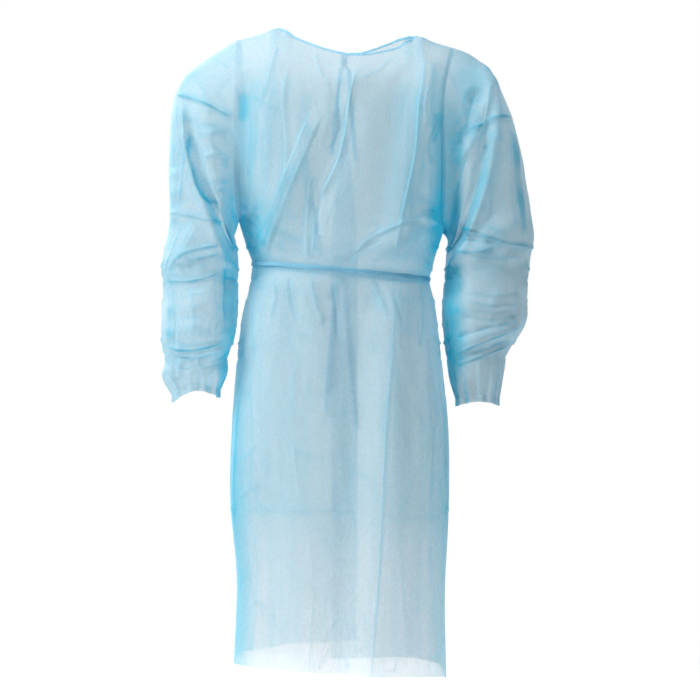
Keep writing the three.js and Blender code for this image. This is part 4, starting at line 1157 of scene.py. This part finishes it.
def film_material(name, cover, light=LIGHT_BLUE, deep=DEEP_BLUE, blueness=0.0):
    """cover is the share of the cloth that is fibre; blueness tints a doubled piece from the start."""
    material = bpy.data.materials.new(name)
    material.use_nodes = True
    tree = material.node_tree
    tree.nodes.clear()
    clouds, fibres, point = web_pattern(tree)
    bend, layers_and_shade, turned = (field(tree, name) for name in ("bend", "layers_and_shade", "turned"))
    bent = math_node(tree, "MULTIPLY", bend, FOLD_BEND)
    # Painted shade as well as folds: where the layers attribute carries the bands' shade, it adds fibre and a
    # deeper blue.
    fold_and_shade = math_node(tree, "ADD", bent, math_node(tree, "MULTIPLY", layers_and_shade, FOLD_LAYERS_AND_SHADE), clamp=True)
    cloudy = math_node(tree, "MULTIPLY_ADD", clouds, WEB_CLOUDS, -WEB_CLOUDS / 2)
    web = math_node(tree, "ADD", cloudy, math_node(tree, "MULTIPLY_ADD", fibres, WEB_FIBRES, -WEB_FIBRES / 2))
    share = math_node(tree, "ADD", web, cover)
    for source, amount in ((fold_and_shade, COVER_FOLD_AND_SHADE), (turned, COVER_TURNED), (point, COVER_BOND)):
        share = math_node(tree, "MULTIPLY_ADD", source, amount, share)
    share = math_node(tree, "MINIMUM", math_node(tree, "MAXIMUM", share, COVER_LEAST), COVER_MOST)
    depth = math_node(tree, "MULTIPLY_ADD", web, BLUE_WEB, blueness)
    depth = math_node(tree, "ADD", depth, math_node(tree, "MULTIPLY", fold_and_shade, BLUE_FOLD_AND_SHADE))
    depth = math_node(tree, "MULTIPLY_ADD", turned, BLUE_TURNED, depth, clamp=True)
    blue = blue_between(tree, light, deep, depth)
    pressed = math_node(tree, "MULTIPLY", point, RELIEF_BOND)
    relief = math_node(tree, "ADD", math_node(tree, "MULTIPLY", fibres, RELIEF_FIBRES), pressed)
    bump = add_node(tree, "ShaderNodeBump", {"Strength": 0.35, "Distance": 0.0002})
    fibre = add_node(tree, "ShaderNodeBsdfPrincipled", FIBRE)
    through = add_node(tree, "ShaderNodeBsdfTranslucent")
    gaps = add_node(tree, "ShaderNodeBsdfTransparent", {"Color": GAPS})
    scatter = add_node(tree, "ShaderNodeMixShader", {"Fac": THROUGH})
    sheet = add_node(tree, "ShaderNodeMixShader")
    out = add_node(tree, "ShaderNodeOutputMaterial")
    link(
        tree,
        (relief, bump.inputs["Height"]),
        (bump.outputs[0], fibre.inputs["Normal"]),
        (blue, fibre.inputs["Base Color"]),
        (blue, through.inputs["Color"]),
        (fibre.outputs[0], scatter.inputs[1]),
        (through.outputs[0], scatter.inputs[2]),
        (gaps.outputs[0], sheet.inputs[1]),
        (scatter.outputs[0], sheet.inputs[2]),
        (share, sheet.inputs[0]),
        (sheet.outputs[0], out.inputs["Surface"]),
    )
    return material


film = film_material("nonwoven_film", cover=0.53)
bpy.context.scene.cycles.transparent_max_bounces = 32
print("material", film.name)

# %% [markdown]
# ## The pieces of cloth
# Seven pieces carry the gown's form: the front, the two backs that lap behind, two sleeves and two
# cuffs. Each replaces its solid and rides on the gown's one body.

# %% Make the main pieces
SLOT_CLOTH, SLOT_TRIM = "cloth", "trim"
PIECE_OF = {name: name.replace("_panel", "") + "_cloth" for name in WALLS if name in cloth}


def finish_piece(piece, slot, *stands_for):
    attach(piece, ROOT)
    if stands_for:
        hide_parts(*stands_for)
    return piece


for node_name, piece_name in PIECE_OF.items():
    grid, closed = cloth[node_name], node_name in TUBES
    fields = {"bend": bend_of(grid, closed), "layers_and_shade": layer_and_shade_fields[node_name]}
    fields["turned"] = turned_fields[node_name]
    piece = grid_mesh(piece_name, grid, film, closed, fields)
    finish_piece(piece, SLOT_CLOTH, node_name)

# %% [markdown]
# ## Seam allowances
# A seam is sewn a finger's width inside the cut edges, and those edges stay inside the gown as
# narrow flaps. Through see-through cloth they show as bands of deeper blue along every seam, one of
# the things that make the gown look sewn. Each is a strip of the same grid, moved inwards.

# %% Strips inside the seams
ALLOWANCE_IN = 0.9 * MM
FLAP, UNDERARM_FLAP = 4, 7  # columns or rows of the grid
TO_ARMPIT, FROM_ARMPIT = np.s_[: ARMPIT_ROW + 1], np.s_[ARMPIT_ROW:]
STRIPS = {  # strip: the piece it belongs to, and its part of the grid
    "allowance_side_right": ("front_panel", np.s_[:FLAP, TO_ARMPIT]),
    "allowance_side_left": ("front_panel", np.s_[-FLAP:, TO_ARMPIT]),
    "allowance_shoulder_right": ("back_panel_right", np.s_[-SHOULDER_END - 1 :, -FLAP:]),
    "allowance_shoulder_left": ("back_panel_left", np.s_[: SHOULDER_END + 1, -FLAP:]),
    "allowance_armhole_front_right": ("front_panel", np.s_[:FLAP, FROM_ARMPIT]),
    "allowance_armhole_front_left": ("front_panel", np.s_[-FLAP:, FROM_ARMPIT]),
    "allowance_armhole_back_right": ("back_panel_right", np.s_[-FLAP:, FROM_ARMPIT]),
    "allowance_armhole_back_left": ("back_panel_left", np.s_[:FLAP, FROM_ARMPIT]),
    "allowance_underarm_right": ("sleeve_right", np.s_[:UNDERARM_FLAP, :]),
    "allowance_underarm_left": ("sleeve_left", np.s_[:UNDERARM_FLAP, :]),
}
strips = {}
doubled = film_material("nonwoven_doubled", cover=0.36, blueness=0.34)
for strip_name, (owner, part) in STRIPS.items():
    whole, closed = cloth[owner], owner in TUBES
    grid = (whole - ALLOWANCE_IN * normals_of(whole, closed))[part]
    fields = {"bend": bend_of(whole, closed)[part], "layers_and_shade": np.full(grid.shape[:2], 0.1)}
    strip = finish_piece(grid_mesh(strip_name, grid, doubled, fields=fields), SLOT_CLOTH)
    strips.setdefault(owner, []).append(strip)
print("strips", sum(len(s) for s in strips.values()))

# %% [markdown]
# ## Neck binding
# The raw neck edge is bound with a strip of the same cloth, cut on the bias so that it follows the
# curve, folded over the edge and sewn through. Its section is a long U. It is built by carrying that
# section along the neckline, as a Curve with a bevel object would, but from the wall's own two edge
# lines, so that it leans with the cloth. It puckers a little at each stitch.

# %% Bind the neck edge
TAPE_THICK = 1.6 * MM
OUTSIDE_SHARES = (0.0, 0.25, 0.5, 0.75, 0.93)  # places up the tape, from its lower edge
INSIDE_SHARES = (0.93, 0.7, 0.4, 0.06)
FOLD_STEPS = 6
FOLD_RISE = 0.35  # how far the fold stands above the edge, as a share of the thickness
PUCKERS = ((0.32, 11, 0), (0.22, 27, 1), (0.16, 5.2, 0))  # height and length in mm, and shift
PUCKER_INSIDE = 0.3  # the share that is left of them on the inner face


def folded_section(low, high, out, thick):
    """A tape folded over an edge: down the outside, round the edge and down the inside."""
    up = high - low
    rise = up / np.linalg.norm(up, axis=1, keepdims=True) * thick * FOLD_RISE
    outside = [low + up * share for share in OUTSIDE_SHARES]
    arc = []
    for turn in np.linspace(0, math.pi, FOLD_STEPS + 1)[1:-1]:
        arc.append(high + rise * math.sin(turn) - out * thick * (1 - math.cos(turn)) / 2)
    inside = [low + up * share - out * thick for share in INSIDE_SHARES]
    return np.stack(outside + arc + inside, axis=1)


neck_out = normals_of(neck, False)
neck_run = lengths(neck, 0)[:, 1] / MM
waves = [high * np.sin(neck_run * 2 * math.pi / wave + shift) for high, wave, shift in PUCKERS]
pucker = sum(waves) * MM
side_out = neck_out.mean(axis=1)
lower_edge = neck[:, 1] + (neck[:, 0] - neck[:, 1]) * BINDING_SHOWN
binding = folded_section(lower_edge, neck[:, 1], side_out, TAPE_THICK)
ripple = np.linspace(1, PUCKER_INSIDE, binding.shape[1])
binding = binding + side_out[:, None] * (pucker[:, None] * ripple)[..., None]
TAPE_LIGHT, TAPE_DEEP = (0.55, 0.83, 0.93, 1), (0.15, 0.64, 0.85, 1)
tape = film_material("bias_tape", cover=0.62, light=TAPE_LIGHT, deep=TAPE_DEEP, blueness=0.25)
tape_fields = {"bend": bend_of(binding, False, 1) * 0.6, "layers_and_shade": np.full(binding.shape[:2], 0.35)}
binding_piece = grid_mesh("neck_binding_tape", binding, tape, fields=tape_fields)
finish_piece(binding_piece, SLOT_TRIM, "neck_binding")
print("binding", binding.shape[:2], round(float(neck_run[-1])), "mm long")

# %% [markdown]
# ## Belt
# The belt is a narrow strip folded lengthwise into a flat tape, and it ties behind. Worn, it never
# lies perfectly flat: it rolls over itself here and there, so its width and its lean vary along
# the way. The section is a flattened loop, carried round the belt wall's own lines.

# %% Carry a flat tape along two edge lines
CROWN, CROWN_EDGE = 0.25, 0.12  # how far each face swells in its middle and at its edges


def smooth_noise(count, waves, seed):
    """A smooth uneven line from -1 to 1, with about that many waves."""
    random = np.random.default_rng(seed)
    t = np.arange(count) / count * 2 * math.pi
    parts = [random.normal() * np.sin(k * t + random.uniform(0, 6.28)) for k in range(1, 2 * waves)]
    line = np.sum(parts, axis=0)
    return line / np.abs(line).max()


def flat_tape(low, high, out, thick, width_share, lean, points=5):
    """A flat loop of tape between two lines; its columns close across the tape."""
    middle, half = (low + high) / 2, (high - low) / 2 * width_share[:, None]
    tilt = out * (lean[:, None] * np.linalg.norm(half, axis=1, keepdims=True))
    loop = []
    for side, order in ((1, np.linspace(-1, 1, points)), (-1, np.linspace(1, -1, points))):
        for share in order:
            crown = (1 - share * share) * CROWN + CROWN_EDGE
            loop.append(middle + half * share + tilt * share + out * side * thick * crown)
    return np.stack(loop, axis=1)


def closed_loop(rings):
    """Rings of points with the first point of each repeated at its end."""
    return np.concatenate([rings, rings[:, :1]], axis=1)


# %% Lay the belt round the waist
BELT_STEPS = 8
BELT_THICK = 1.8 * MM
BELT_SUNK = 4.6 * MM  # the belt lies on the drawn-in cloth, further in than its wall
belt = finer(walls["waist_belt"], BELT_STEPS, 0, closed=True)
belt_out = normals_of(belt, True).mean(axis=1)
count = len(belt)
belt_width = 0.66 + 0.14 * smooth_noise(count, 12, 3)
belt_lean = 0.28 * smooth_noise(count, 9, 5)
belt_in = (BELT_SUNK * belt_out)[:, None]
belt_loop = flat_tape(*np.moveaxis(belt - belt_in, 1, 0), belt_out, BELT_THICK, belt_width, belt_lean)
belt_grid = closed_loop(belt_loop)
belt_fields = {"bend": bend_of(belt_grid, True, 1) * 0.5, "layers_and_shade": np.full(belt_grid.shape[:2], 0.4)}
belt_piece = grid_mesh("waist_belt_tape", belt_grid, tape, True, belt_fields)
finish_piece(belt_piece, SLOT_TRIM, "waist_belt")
print("belt", round(float(lengths(belt, 0, True)[-1, 0]), 3), "m round the waist")

# %% [markdown]
# ## Ties and knots
# The binding runs on past the nape as two ties, and the belt's ends do the same at the small of the
# back. Each pair is tied once. The knot is a trefoil, the curve of a plain overhand knot, with the
# flattened tape carried along it, and the ends hang down with a lazy twist.

# %% Hang the tie ends
TIES = ("neck_tie_left", "neck_tie_right", "waist_tie_left", "waist_tie_right")
TIE_STEPS = 12
TIE_THICK = 1.5 * MM
TIE_THREAD_OUT = 0.1 * MM  # the stitches lie this far off the tape
KNOT_ASIDE = 2.2 * MM  # a tie enters its knot this far from the middle
KNOT_ROWS = ((-0.32, 2.4 * MM), (0.2, 2.0 * MM))  # share of the knot's height, half the tape's width
BINDING_ROWS = ((-3.5 * MM, 2.6 * MM), (1.5 * MM, 3.6 * MM))  # height at the binding, half the width


def up_to_knot(name, wall):
    """Carries a tie's two edges on into its knot, and at the neck on to the binding's end."""
    knot_low, knot_high = (np.array(corner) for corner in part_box(f"{name.split('_')[0]}_knot"))
    middle = (knot_low + knot_high) / 2
    lean = np.sign(wall[:, -1, 0].mean() - middle[0])
    rows = [wall]
    for share, half in KNOT_ROWS:
        centre = middle + np.array([lean * KNOT_ASIDE, 0, share * (knot_high[2] - knot_low[2])])
        rows.append(np.array([[centre + [side * half, 0, 0]] for side in (1, -1)]))
    if name.startswith("neck"):
        end = neck[-1 if lean > 0 else 0].mean(axis=0)
        for rise, half in BINDING_ROWS:
            rows.append(np.array([[end + [side * half, 0, rise]] for side in (1, -1)]))
    return np.concatenate(rows, axis=1)


ties, tie_edges = {}, []
for number, name in enumerate(TIES):
    wall = walls[name]
    if wall.shape[1] <= wall.shape[0]:
        wall = wall.transpose(1, 0, 2)
    edges = finer(up_to_knot(name, wall), TIE_STEPS, 1)[[0, -1]]
    out = normals_of(edges, False).mean(axis=0)
    count = edges.shape[1]
    width_share = 0.86 + 0.12 * smooth_noise(count, 4, 20 + number)
    lean = 0.35 * smooth_noise(count, 2, 30 + number)
    loop = flat_tape(edges[0], edges[1], out, TIE_THICK, width_share, lean)
    tie_edges.append(loop[:, 1] + out * TIE_THREAD_OUT)
    grid = closed_loop(loop)
    if (normals_of(grid, False)[:, 2] * out).sum() < 0:
        grid = grid[:, ::-1]
    fields = {"bend": bend_of(grid, False, 1) * 0.5, "layers_and_shade": np.full(grid.shape[:2], 0.4)}
    ties[name] = finish_piece(grid_mesh(f"{name}_tape", grid, tape, fields=fields), SLOT_TRIM, name)
    run = np.linalg.norm(np.diff(edges.mean(axis=0), axis=0), axis=1).sum()
    wide = np.linalg.norm(edges[0] - edges[1], axis=1).mean() / MM
    print(name, round(float(run), 3), "m of tape", round(float(wide), 1), "mm wide")

# %% Tie the knots
KNOT_POINTS, KNOT_SECTION = 120, 10
KNOT_WIDE, KNOT_THICK = 6.6 * MM, 3.4 * MM


def trefoil_knot(low, high, tape_wide, tape_thick):
    """A closed overhand knot that fills the box, as a grid of flattened rings."""
    t = np.arange(KNOT_POINTS) / KNOT_POINTS * 2 * math.pi
    x, y, z = np.sin(t) + 2 * np.sin(2 * t), 0.9 * np.sin(3 * t), np.cos(t) - 2 * np.cos(2 * t)
    path = np.stack([x, y, z], axis=1)
    path = (path - path.min(0)) / (path.max(0) - path.min(0)) - 0.5
    size = np.array(high) - np.array(low)
    path = path * (size - tape_thick * 1.6) + (np.array(high) + np.array(low)) / 2
    tangent = steps_of(path, 0, True)
    tangent /= np.linalg.norm(tangent, axis=1, keepdims=True)
    outward = path - path.mean(axis=0)
    side = np.cross(tangent, outward)
    side /= np.linalg.norm(side, axis=1, keepdims=True)
    flat = np.cross(side, tangent)
    ring = (np.arange(KNOT_SECTION) / KNOT_SECTION * 2 * math.pi)[None, :, None]
    across = side[:, None] * (np.cos(ring) * tape_wide / 2)
    return path[:, None] + across + flat[:, None] * (np.sin(ring) * tape_thick / 2)


for name in ("neck_knot", "waist_knot"):
    low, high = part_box(name)
    grid = closed_loop(trefoil_knot(low, high, KNOT_WIDE, KNOT_THICK))
    fields = {"bend": np.full(grid.shape[:2], 0.15), "layers_and_shade": np.full(grid.shape[:2], 0.6)}
    piece = grid_mesh(f"{name}_tape", grid, tape, True, fields)
    bm = bmesh.new()
    bm.from_mesh(piece.data)
    bmesh.ops.remove_doubles(bm, verts=bm.verts, dist=SAME_POINT)
    bmesh.ops.recalc_face_normals(bm, faces=bm.faces)
    bm.to_mesh(piece.data)
    bm.free()
    finish_piece(piece, SLOT_TRIM, name)
    print(name, "in", [round(v / MM) for v in Vector(high) - Vector(low)], "mm")

# %% [markdown]
# ## Stitches
# The seams, the binding, the belt and the ties are run up on a machine, with a long stitch and a
# thread a shade lighter than the cloth. Some eighteen hundred stitches are too many to place one by
# one, and they all follow lines that the cloth already has, so this is work for Geometry Nodes: the
# lines become curves, the curves are cut into even steps, and each step gets a small bead, turned
# along the line and a little uneven in length. Turned into a mesh, the beads are the thread.

# %% Find the lines that the thread follows
STITCH_IN = 2.6 * MM
THREAD_OUT = 0.12 * MM
BINDING_THREAD_OUT = 0.2 * MM


def beside_edge(name, line):
    """Points a little way in from an edge of a piece, on its outer face."""
    grid, out = cloth[name], normals_of(cloth[name], name in TUBES)
    axis = 0 if np.ptp(line[:, 0]) == 0 else 1
    step = np.zeros(2, int)
    step[axis] = -2 if line[0, axis] == grid.shape[axis] - 1 else 2
    edge, inner = line_points(name, line), line_points(name, line + step)
    way = inner - edge
    way /= np.linalg.norm(way, axis=1, keepdims=True)
    row = edge + way * STITCH_IN + out[line[:, 0], line[:, 1]] * THREAD_OUT
    return np.concatenate([row, row[:1]]) if name in TUBES and axis == 1 else row


stitch_rows = []
for name, (a, line_a, b, line_b) in SEAMS.items():  # beside a cuff's seam on the cuff
    stitch_rows.append(beside_edge(b, line_b) if name.startswith("cuff") else beside_edge(a, line_a))
for side in ("right", "left"):
    sleeve_places, cuff_places = index_grid(f"sleeve_{side}"), index_grid(f"cuff_{side}")
    stitch_rows.append(beside_edge(f"sleeve_{side}", sleeve_places[0, 2:-2]))
    stitch_rows.append(beside_edge(f"cuff_{side}", cuff_places[:, 0]))
stitch_rows.append(binding[:, 1] + side_out * BINDING_THREAD_OUT)
belt_edge = belt_loop[:, 1] + belt_out * THREAD_OUT
stitch_rows.append(np.concatenate([belt_edge, belt_edge[:1]]))
stitch_rows += tie_edges
print("lines of stitches", len(stitch_rows))

# %% A tree that runs stitches along lines
STITCH = {"Pitch": 4.2 * MM, "Stitch length": 3.0 * MM, "Thread width": 0.55 * MM}
STITCH |= {"Unevenness": 0.14, "Seed": 7}
BEAD = {"Segments": 6, "Rings": 4, "Radius": 0.5}
BEAD_FACES = BEAD["Segments"] * BEAD["Rings"]


def stitch_tree():
    tree = bpy.data.node_groups.new("run_of_stitches", "GeometryNodeTree")
    tree.interface.new_socket("Lines", in_out="INPUT", socket_type="NodeSocketGeometry")
    for label, value in STITCH.items():
        kind = "NodeSocketInt" if label == "Seed" else "NodeSocketFloat"
        tree.interface.new_socket(label, in_out="INPUT", socket_type=kind).default_value = value
    tree.interface.new_socket("Thread", in_out="INPUT", socket_type="NodeSocketMaterial")
    tree.interface.new_socket("Stitches", in_out="OUTPUT", socket_type="NodeSocketGeometry")
    given = add_node(tree, "NodeGroupInput").outputs
    curve = add_node(tree, "GeometryNodeMeshToCurve")
    steps = add_node(tree, "GeometryNodeResampleCurve", mode="LENGTH")
    bead = add_node(tree, "GeometryNodeMeshUVSphere", BEAD)
    smooth = add_node(tree, "GeometryNodeSetShadeSmooth")
    tangent = add_node(tree, "GeometryNodeInputTangent")
    turn = add_node(tree, "FunctionNodeAlignRotationToVector", axis="Z")
    vary = add_node(tree, "FunctionNodeRandomValue", data_type="FLOAT")
    least, most = [s for s in vary.inputs if s.enabled and s.name in ("Min", "Max")]
    chance = next(s for s in vary.outputs if s.enabled)
    size = add_node(tree, "ShaderNodeCombineXYZ")
    place = add_node(tree, "GeometryNodeInstanceOnPoints")
    real = add_node(tree, "GeometryNodeRealizeInstances")
    paint = add_node(tree, "GeometryNodeSetMaterial")
    out = add_node(tree, "NodeGroupOutput")
    link(
        tree,
        (given["Lines"], curve.inputs["Mesh"]),
        (curve.outputs["Curve"], steps.inputs["Curve"]),
        (given["Pitch"], steps.inputs["Length"]),
        (math_node(tree, "SUBTRACT", 1.0, given["Unevenness"]), least),
        (math_node(tree, "ADD", 1.0, given["Unevenness"]), most),
        (given["Seed"], vary.inputs["Seed"]),
        (tangent.outputs[0], turn.inputs["Vector"]),
        (given["Thread width"], size.inputs["X"]),
        (given["Thread width"], size.inputs["Y"]),
        (math_node(tree, "MULTIPLY", given["Stitch length"], chance), size.inputs["Z"]),
        (bead.outputs["Mesh"], smooth.inputs["Geometry"]),
        (steps.outputs["Curve"], place.inputs["Points"]),
        (smooth.outputs["Geometry"], place.inputs["Instance"]),
        (turn.outputs["Rotation"], place.inputs["Rotation"]),
        (size.outputs["Vector"], place.inputs["Scale"]),
        (place.outputs["Instances"], real.inputs["Geometry"]),
        (real.outputs["Geometry"], paint.inputs["Geometry"]),
        (given["Thread"], paint.inputs["Material"]),
        (paint.outputs["Geometry"], out.inputs["Stitches"]),
    )
    return tree


def thread_material():
    """Spun polyester: pale, softly shining, with a fine twist in its relief and uneven dye."""
    material = bpy.data.materials.new("polyester_thread")
    material.use_nodes = True
    tree = material.node_tree
    place = add_node(tree, "ShaderNodeTexCoord").outputs["Object"]
    twist = add_node(tree, "ShaderNodeTexNoise", {"Scale": 2600, "Detail": 2})
    dye = add_node(tree, "ShaderNodeTexNoise", {"Scale": 90, "Detail": 2})
    ramp = add_node(tree, "ShaderNodeValToRGB")
    ramp.color_ramp.elements[0].color = (0.36, 0.66, 0.82, 1)
    ramp.color_ramp.elements[1].color = (0.58, 0.82, 0.92, 1)
    bump = add_node(tree, "ShaderNodeBump", {"Strength": 0.5, "Distance": 0.0001})
    shader = next(node for node in tree.nodes if node.type == "BSDF_PRINCIPLED")
    shader.inputs["Roughness"].default_value = 0.48
    shader.inputs["Sheen Weight"].default_value = 0.3
    link(
        tree,
        (place, twist.inputs["Vector"]),
        (place, dye.inputs["Vector"]),
        (dye.outputs[0], ramp.inputs["Fac"]),
        (ramp.outputs["Color"], shader.inputs["Base Color"]),
        (twist.outputs[0], bump.inputs["Height"]),
        (bump.outputs[0], shader.inputs["Normal"]),
    )
    return material


# %% Run the stitches


def lines_object(name, rows):
    """Loose edges along each row of points."""
    edges, start = [], 0
    for row in rows:
        edges += [(start + k, start + k + 1) for k in range(len(row) - 1)]
        start += len(row)
    return mesh_object(name, np.concatenate(rows).tolist(), edges)


stitches = lines_object("seam_stitches", stitch_rows)
run = stitches.modifiers.new("run of stitches", "NODES")
run.node_group = stitch_tree()
for item in run.node_group.interface.items_tree:
    if item.in_out == "INPUT" and item.name in STITCH:
        run[item.identifier] = STITCH[item.name]
    if item.in_out == "INPUT" and item.name == "Thread":
        run[item.identifier] = thread_material()
graph = bpy.context.evaluated_depsgraph_get()
sewn = bpy.data.meshes.new_from_object(stitches.evaluated_get(graph), depsgraph=graph)
stitches.modifiers.clear()
stitches.data = sewn
finish_piece(stitches, SLOT_TRIM)
print("stitches", len(sewn.polygons) // BEAD_FACES, "and", len(sewn.polygons), "faces")

# %% [markdown]
# ## Both boxes
# The gown is all sheets. The bounds of the imported model and of the finished scene are kept, and
# how far the finished gown grows past the imported one is printed.

# %% Keep both boxes and finish
visual_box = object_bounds()
boxes = {"cad": [list(corner) for corner in cad_box], "visual": [list(corner) for corner in visual_box]}
cad_sides, visual_sides = sum(boxes["cad"], []), sum(boxes["visual"], [])
print("grows by", [round((v - c) / MM, 1) for c, v in zip(cad_sides, visual_sides)], "mm")
